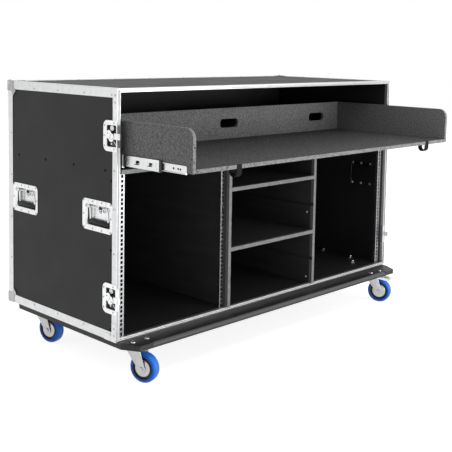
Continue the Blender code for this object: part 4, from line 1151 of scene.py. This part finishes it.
for side, tag in latch_tags:
    plate, key, hook = (f"latch_{part}_{tag}" for part in ("plate", "key", "hook"))
    low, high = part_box(plate)
    z = (low.z + high.z) / 2
    half = (high.z - low.z) / 2
    bend_y = high.y - LATCH_CORNER
    outline = [(low.y, z - half)]
    outline += arc((bend_y, z - half + LATCH_CORNER), LATCH_CORNER, -90, 0, 10)
    outline += arc((bend_y, z + half - LATCH_CORNER), LATCH_CORNER, 0, 90, 10)
    outline += [(low.y, z + half)]
    sheet = plate_between(side, outline, -CAP, -GAP)
    middle = ((back(CUP_FRONT) + back(CUP_REAR)) / 2, z)
    cup = plate_between(side, rounded(middle, CUP_LENGTH, 2 * CUP_HALF, CUP_CORNER), -CAP * 0.7,
                        CUP_FLOOR)
    hollow = plate_between(side, rounded(middle, CUP_LENGTH - 2 * CUP_WALL,
                                         2 * (CUP_HALF - CUP_WALL), CUP_CORNER - CUP_WALL),
                           -CLEAR, CUP_FACE)
    lip = block(side, (-CAP, 0.0040), (back(SHOULDER - 0.0010), back(SHOULDER - 0.0002)),
                (z - CUP_HALF * 0.92, z + CUP_HALF * 0.92))
    piece(f"latch_cup_{tag}", together([cut(weld(sheet, cup), hollow), lip]), latch_zinc, "case",
          plate, 0.0004)
    works = [boss(side, (back(BARREL_PLACE[0]), z + BARREL_PLACE[1]), BARREL, 28),
             dome((across(side, CUP_FACE), back(STOP_PLACE[0]), z + STOP_PLACE[1]), "X", side,
                  0.0042, 0.0016, 0.0013),
             plate_between(side, [(back(a), z - b) for a, b in GUIDE], CUP_FACE, GUIDE_TOP)]
    piece(f"latch_works_{tag}", together(works), zinc, "case", plate, 0.0004)
    rivets(f"latch_rivets_{tag}", [((across(side, -CAP), back(a), z + b), "X", side)
                                   for a, b in LATCH_RIVETS],
           head=0.0036, rise=0.0011, pin=0.0018)

    backing = block(side, BACKING, (back(SHOULDER + 0.0014), back(INNER_FLANGE - 0.0004)),
                    (z - CUP_HALF, z + CUP_HALF))
    holes = [boss(side, (back(0.0125), z + step), ((BACKING[0] + 0.00192, 0.0024),
                                                   (BACKING[1] + 0.002, 0.0024)))
             for step in BACKING_HOLES]
    piece(f"latch_backing_{tag}", cut(backing, *holes), shaded_zinc, "case", None,
          0.0008)

    key_y = back(KEY_SET)
    if side < 0:
        outline = []
        for i in range(72):
            angle = 2 * math.pi * i / 72
            share = abs(math.cos(angle - KEY_LEAN)) ** 0.8
            reach = KEY_WAIST + (KEY_RADIUS - KEY_WAIST) * share
            outline.append((key_y + reach * math.sin(angle), z + reach * math.cos(angle)))
        wings = plate_between(side, outline, KEY_FACE, KEY_FACE - KEY_SHEET)
        spots = [(key_y + way * DOT_STEP * math.sin(KEY_LEAN),
                  z + way * DOT_STEP * math.cos(KEY_LEAN)) for way in (-1, 1)]
        dots = [boss(side, spot, ((KEY_FACE, 0.0021), (-CLEAR, 0.0021))) for spot in spots]
        # Dark steel plugs fill the key's two holes: painted shade in the holes.
        painted_shade_marks = [boss(side, spot, ((KEY_FACE, 0.0020), (KEY_FACE - KEY_SHEET * 0.8, 0.0020)))
                 for spot in spots]
        ridge = Vector((0.0, math.cos(KEY_LEAN), -math.sin(KEY_LEAN)))
        hub = Vector((across(side, KEY_FACE - KEY_SHEET * 0.6), key_y, z))
        knuckle, ridge_shadow_line = [[hub + ridge * along + Vector((0.0, a, b)) for along, a, b in run]
                           for run in (KNUCKLE, RIDGE_SHADOW_LINE)]
        painted_shade_marks.append(tube(ridge_shadow_line, 0.0008, 8))
        piece(f"latch_key_studs_{tag}", together(painted_shade_marks), dark_steel_and_painted_shade, key, key)
        shapes = [cut(wings, *dots), tube(knuckle, 0.0011, 10)]
    else:
        reach = KEY_RAISE - KEY_ROUND
        local = [(KEY_SHEET - KEY_FACE, -KEY_WAIST)]
        local += arc((reach, KEY_ROUND - KEY_WAIST), KEY_ROUND, -90, 0, 6)
        local += arc((reach, KEY_WAIST - KEY_ROUND), KEY_ROUND, 0, 90, 6)
        local += [(KEY_SHEET - KEY_FACE, KEY_WAIST)]
        outline = [(across(side, -out), z + along) for out, along in local]
        dot = rod("Y", (across(side, -0.0140), z), key_y - 0.005, key_y + 0.005, 0.0016)
        wings = [prism(outline, "Y", key_y + way * 0.0003, key_y + way * 0.0016)
                 for way in (-1, 1)]
        shapes = [cut(together(wings), dot),
                  boss(side, (key_y, z), ((KEY_FACE, 0.0095), (KEY_FACE - KEY_SHEET, 0.0092)), 28),
                  rod("Z", (across(side, -0.0042), key_y), z - 0.0100, z + 0.0100, 0.0018, 14)]
    shapes.append(boss(side, (key_y, z), ((CUP_FACE - GAP, SPINDLE), (KEY_FACE, SPINDLE)), 20))
    piece(f"latch_butterfly_{tag}", together(shapes), latch_zinc if side < 0 else shaded_zinc,
          key, key, 0.0003)

    hook_low, hook_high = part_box(hook)
    riser, tip, tail = back(HOOK_RISER), hook_low.y, hook_high.y
    over = KEY_FACE - HOOK_WALL
    line = [(HOOK_FOOT + HOOK_WALL, tail), (HOOK_FOOT, tail),
            (HOOK_FOOT, riser + HOOK_WALL + 0.0012), (HOOK_FOOT - 0.0012, riser + HOOK_WALL),
            (KEY_FACE, riser + HOOK_WALL), (KEY_FACE - HOOK_WALL * 0.7, riser + HOOK_WALL * 0.7),
            (over, riser), (over, tip + 0.0014), (over + 0.0005, tip + 0.0005),
            (over + 0.0014, tip), (0.0024, tip), (0.0030, tip + 0.0008), (0.0030, tip + HOOK_WALL),
            (KEY_FACE, tip + HOOK_WALL), (KEY_FACE, riser - 0.0008), (KEY_FACE + 0.0008, riser),
            (HOOK_FOOT + HOOK_WALL - 0.0010, riser), (HOOK_FOOT + HOOK_WALL, riser + 0.0010)]
    strip = prism([(across(side, inset), place) for inset, place in line], "Z", z - HOOK_HALF,
                  z + HOOK_HALF)
    slit = block(side, (-0.02, 0.0), [back(place) for place in HOOK_SLIT],
                 (z - HOOK_SLIT_HALF, z + HOOK_SLIT_HALF))
    piece(f"latch_claw_{tag}", cut(strip, slit), latch_zinc, hook, hook, 0.0003)

# Telescopic slides
# Full-extension ball slides of rolled and zinc-plated steel: the outer members are screwed
# to the battens, the middle ones carry the balls, and the inner ones are screwed to the tray.
ROLL_WALL = 0.0015
ROLL_BEND = 0.0022
LIP_MIDDLE = 0.009
LIP_INNER = 0.006
BUMPER = 0.0085
# Each hole is (behind the slide's front, above its middle, length, height, corner radius).
MIDDLE_HOLES = ((0.047, 0.001, 0.017, 0.0105, 0.003), (0.109, 0.001, 0.020, 0.0115, 0.003),
                (0.115, -0.0058, 0.026, 0.0026, 0.001), (0.053, -0.0048, 0.022, 0.0024, 0.001),
                (0.300, 0.0, 0.016, 0.0075, 0.003), (0.440, 0.0, 0.010, 0.0050, 0.002))
INNER_HOLES = ((0.058, 0.0, 0.0080, 0.0080, 0.0039), (0.0375, 0.0, 0.0084, 0.0064, 0.0030),
               (0.0275, -0.0005, 0.0074, 0.0074, 0.0036), (0.260, 0.0, 0.0060, 0.0060, 0.0029))
CHEVRON = ((0.0165, 0.011), (0.0185, 0.011), (0.0250, 0.0), (0.0185, -0.011),
           (0.0165, -0.011), (0.0228, 0.0))

slide_zinc = scratched_metal("slide_zinc", (0.72, 0.725, 0.73), 0.26, (1.0, 0.04, 1.0), 0.08)
bumper_black = grained("black_bumper_plastic", (0.020, 0.020, 0.021), 0.38, 0.16, 700.0)


def rolled_channel(side, web, way, low, high, lip):
    """A channel with rounded bends: its web stands at an inset and its lips run one way."""
    mid = (low.z + high.z) / 2
    half = (high.z - low.z) / 2
    ring = [(web + way * (ROLL_BEND - a), -half + ROLL_BEND - b)
            for a, b in arc((0.0, 0.0), ROLL_BEND, 0, 90, 4)]
    ring += [(web + way * lip, -half), (web + way * lip, -half + ROLL_WALL),
             (web + way * (ROLL_BEND + 0.0004), -half + ROLL_WALL),
             (web + way * ROLL_WALL, -half + ROLL_BEND + 0.0004)]
    ring += [(inset, -z) for inset, z in reversed(ring)]
    return prism([(across(side, inset), mid + z) for inset, z in ring], "Y", low.y, high.y)


def punched(shape, side, web, front_y, mid, holes):
    """Punch holes through a slide's web."""
    xs = sorted((across(side, web - 0.003), across(side, web + 0.003)))
    return cut(shape, *[prism(rounded((front_y + a, mid + b), long, tall, corner, 5), "X", *xs)
                        for a, b, long, tall, corner in holes])


for side, name in sides:
    dress(f"slide_outer_{name}", slide_zinc, 0.0003)
    node = f"slide_middle_{name}"
    low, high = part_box(node)
    web = min(abs(low.x - across(side, 0.0)), abs(high.x - across(side, 0.0)))
    start = low.y
    rail_end = start + BUMPER - 0.0002
    mid = (low.z + high.z) / 2
    end_cap = block(side, (web + 0.0002, web + 0.0060), (start, rail_end),
                    (low.z + 0.0008, high.z - 0.0008))
    plug = block(side, (web + ROLL_WALL, web + 0.0040), (rail_end, start + 0.0130),
                 (low.z + ROLL_WALL + 0.0002, high.z - ROLL_WALL - 0.0002))
    low.y += BUMPER
    rail = punched(rolled_channel(side, web, 1, low, high, LIP_MIDDLE), side, web, start, mid,
                   MIDDLE_HOLES)
    crease = plate_between(side, [(start + a, mid + b) for a, b in CHEVRON], web - 0.0009,
                           web + 0.0009)
    piece(f"slide_middle_rail_{name}", cut(rail, crease), slide_zinc, "slide_middles",
          node)
    piece(f"slide_bumper_{name}", together([plug, end_cap]), bumper_black, "slide_middles",
          node, 0.0005)

    node = f"slide_inner_{name}"
    low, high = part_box(node)
    web = max(abs(low.x - across(side, 0.0)), abs(high.x - across(side, 0.0)))
    rail = punched(rolled_channel(side, web, -1, low, high, LIP_INNER), side, web, low.y,
                   (low.z + high.z) / 2, INNER_HOLES)
    piece(f"slide_inner_rail_{name}", rail, slide_zinc, "tray", node)

# Pull-out tray
# Boards faced with a fine speckled charcoal film, their cut edges banded in light grey. The
# side walls are rounded at the front and the rear wall has cable slots.
TRAY_WALL = 0.0125
TRAY_BOARD = 0.013
TRAY_CORNER = 0.033
CABLE_SLOT = (0.101, 0.035, 0.014)
CABLE_RISE = 0.0615
CABLE_STEP = 0.555
LOOP_WIDTH = 0.023
LOOP_WALL = 0.0046
LOOP_SPAN = 0.034
LOOP_DROP = 0.028
LOOPS = (across(-1, 0.238), across(1, 0.1845))
SCREW_PROUD = 0.0003
# The front edge's screws: (inset, above the underside of the walls).
TRAY_SCREWS = ((0.04375, 0.021), (0.04375, 0.066), (0.0586, -0.0073), (0.178, -0.0073))

tray_low, tray_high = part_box("tray_walls")
tray_low.y += SCREW_PROUD
speckle = Finish("speckled_charcoal_film", specular_ior_level=0.12)
flakes = speckle.noise(170.0, 6.0, roughness=0.90)
floor_mottle = speckle.noise(105.0, 8.0, roughness=0.95)
haze = speckle.noise(1300.0, 2.0)
side_film = speckle.mix(flakes.between(0.42, 0.58), (0.105, 0.105, 0.107), (0.300, 0.300, 0.305))
# Faces that look up get a darker, mottled film: painted shade on the tray's floor, which lies under
# the case's top.
shaded_floor_film = speckle.mix(floor_mottle.between(0.43, 0.57), (0.016, 0.016, 0.017), (0.165, 0.165, 0.168))
film = speckle.mix(speckle.face("Z").between(0.7, 0.9), side_film, shaded_floor_film)
banding = speckle.mix(flakes.between(0.42, 0.50), (0.04, 0.04, 0.04), (0.33, 0.33, 0.33))
rounded_end = tray_low.y + TRAY_CORNER
at_front = 1.0 - speckle.coordinates("Object", "Y").between(rounded_end, rounded_end + 0.001)
front_edge = (0.0 - speckle.face("Y")).between(0.25, 0.45) * at_front
at_top = speckle.coordinates("Object", "Z").between(tray_low.z + 0.02, tray_low.z + 0.021)
top_edge = speckle.face("Z").between(0.3, 0.5) * at_top
speckle.set("Base Color", speckle.mix(front_edge.most(top_edge), film, banding))
speckle.set("Roughness", 0.56 + haze * 0.14)
speckle.bump(haze * 0.5 + flakes * 0.5, 0.3, 0.0004)

walls = []
outline = [(tray_low.y, tray_low.z), (tray_high.y, tray_low.z), (tray_high.y, tray_high.z)]
outline += arc((rounded_end, tray_high.z - TRAY_CORNER), TRAY_CORNER, 90, 180, 18)
for side, outer in ((-1, tray_low.x), (1, tray_high.x)):
    walls.append(prism(outline, "X", *sorted((outer, outer - side * TRAY_WALL))))
rear_wall = box((tray_low.x + TRAY_WALL / 2, tray_high.x - TRAY_WALL / 2),
                (tray_high.y - TRAY_WALL, tray_high.y), (tray_low.z, tray_high.z))
slots = [prism(rounded((centre_x + step * CABLE_STEP, tray_low.z + CABLE_RISE), *CABLE_SLOT, 8),
               "Y", tray_high.y - TRAY_WALL - CLEAR, tray_high.y + CLEAR) for step in (-1, 0, 1)]
piece("tray_sides_and_back", cut(weld(rear_wall, *walls), *slots), speckle, "tray",
      "tray_walls", 0.0006)

floor_low, floor_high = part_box("tray_floor")
tray_under = tray_low.z - GAP - TRAY_BOARD
notches = [box((x - LOOP_WIDTH / 2 - GAP, x + LOOP_WIDTH / 2 + GAP),
               (tray_low.y - CLEAR, tray_low.y + LOOP_WALL + GAP),
               (tray_under - CLEAR, tray_low.z + CLEAR)) for x in LOOPS]
floor_board = box((floor_low.x, floor_high.x), (tray_low.y, tray_high.y),
                  (tray_under, tray_low.z - GAP))
piece("tray_board", cut(floor_board, *notches), speckle, "tray", "tray_floor",
      0.0006)
edge_screws = [cross_screw((across(side, inset), tray_low.y, tray_low.z + rise), "Y", -1, 0.0022,
                           0.0002) for side, _ in sides for inset, rise in TRAY_SCREWS]
piece("tray_edge_screws", together(edge_screws), screw_black, "tray")

# Pull loops
# Two short loops of stiff black webbing, let into notches at the tray's front edge and
# stapled under it, to pull the tray out by.
strap = Finish("black_webbing", specular_ior_level=0.08)
strap_weave = strap.node("ShaderNodeTexWave", {"wave_type": 'BANDS', "bands_direction": 'X'},
                         {"Vector": strap.place(), "Scale": 260.0, "Distortion": 0.6})
strap_fuzz = strap.noise(900.0, 2.0)
strap.set("Base Color", strap.mix(strap_weave * 0.6 + strap_fuzz * 0.4, (0.006, 0.006, 0.0065),
                                  (0.024, 0.024, 0.025)))
strap.set("Roughness", 0.60 + strap_fuzz * 0.2)
strap.bump(strap_weave, 0.4, 0.0003)
bend = (tray_low.y + LOOP_SPAN / 2, tray_under - LOOP_DROP + LOOP_SPAN / 2)
top_z = tray_low.z - GAP * 0.5
outline = [(tray_low.y + 0.004, top_z), (tray_low.y + 0.0012, top_z),
           (tray_low.y, tray_low.z - 0.0014)]
outline += arc(bend, LOOP_SPAN / 2, 180, 360, 20)
outline += [(tray_low.y + LOOP_SPAN, tray_under - GAP),
            (tray_low.y + LOOP_SPAN - LOOP_WALL, tray_under - GAP)]
outline += arc(bend, LOOP_SPAN / 2 - LOOP_WALL, 360, 180, 20)
outline += [(tray_low.y + LOOP_WALL, tray_low.z - 0.0028),
            (tray_low.y + 0.004, tray_low.z - 0.0028)]
loops = [prism(outline, "X", x - LOOP_WIDTH / 2, x + LOOP_WIDTH / 2) for x in LOOPS]
piece("tray_pull_loops", together(loops), strap, "tray", "tray_floor", 0.0005)

# Photo stand
# A plain pale floor and backdrop, soft lamps, and the camera low at the case's left front.
CAMERA_PLACE = Vector((-2.4676, -2.3056, 1.1060))
CAMERA_YAW = math.radians(45.419)
CAMERA_PITCH = math.radians(5.055)
CAMERA_ROLL = math.radians(0.970)
FOCAL_PIXELS = 861.38
FRAME_PIXELS = 452
PRINCIPAL = (221.61, 122.83)
SENSOR = 36.0
FLOOR_GLOW = 0.80
SHADE_LIGHT = 0.42

floor_paper = Finish("pale_floor", base_color=(0.82, 0.82, 0.82), roughness=0.8,
                     specular_ior_level=0.1, emission_strength=FLOOR_GLOW)
floor_paper.set("Emission Color", floor_paper.mix(floor_paper.seen(), (0.0, 0.0, 0.0),
                                                  (1.0, 1.0, 1.0)))
floor = piece("floor", box((-9.0, 9.0), (-9.0, 9.0), (-0.02, 0.0)), floor_paper, "case")

world = bpy.data.worlds.new("studio")
bpy.context.scene.world = world
world.use_nodes = True
sky = Nodes(world.node_tree)
backing = world.node_tree.nodes["Background"]
sky.join(backing.inputs["Color"], (1.0, 1.0, 1.0, 1.0))
sky.join(backing.inputs["Strength"], SHADE_LIGHT + sky.seen() * (1.0 - SHADE_LIGHT))


def softbox(name, place, target, size, power):
    """A square soft lamp that looks at a point."""
    lamp = bpy.data.lights.new(name, 'AREA')
    lamp.shape = 'RECTANGLE'
    lamp.size, lamp.size_y = size
    lamp.energy = power
    made = bpy.data.objects.new(name, lamp)
    bpy.context.scene.collection.objects.link(made)
    made.location = place
    made.rotation_euler = (Vector(target) - Vector(place)).to_track_quat('-Z', 'Y').to_euler()


softbox("front_lamp", (1.1, -3.5, 0.70), (0.1, 0.0, 0.6), (2.6, 0.9), 63.0)
softbox("left_lamp", (-2.3, 0.7, 1.2), (-0.76, 0.0, 0.6), (1.2, 1.2), 3.0)
softbox("top_lamp", (0.1, -1.9, 3.0), (0.0, -0.3, 0.7), (2.0, 1.0), 20.0)

forward = Vector((math.sin(CAMERA_YAW) * math.cos(CAMERA_PITCH),
                  math.cos(CAMERA_YAW) * math.cos(CAMERA_PITCH), -math.sin(CAMERA_PITCH)))
level = Vector((math.cos(CAMERA_YAW), -math.sin(CAMERA_YAW), 0.0))
upright = level.cross(forward)
sideways = level * math.cos(CAMERA_ROLL) + upright * math.sin(CAMERA_ROLL)
upright = upright * math.cos(CAMERA_ROLL) - level * math.sin(CAMERA_ROLL)
view = bpy.data.cameras.new("view")
view.sensor_width = SENSOR
view.lens = FOCAL_PIXELS / FRAME_PIXELS * SENSOR
view.shift_x = (FRAME_PIXELS / 2 - PRINCIPAL[0]) / FRAME_PIXELS
view.shift_y = (PRINCIPAL[1] - FRAME_PIXELS / 2) / FRAME_PIXELS
camera = bpy.data.objects.new("camera", view)
bpy.context.scene.collection.objects.link(camera)
turn = Matrix((sideways, upright, -forward)).transposed().to_4x4()
camera.matrix_world = Matrix.Translation(CAMERA_PLACE) @ turn
bpy.context.scene.camera = camera
bpy.context.scene.view_settings.view_transform = 'Standard'
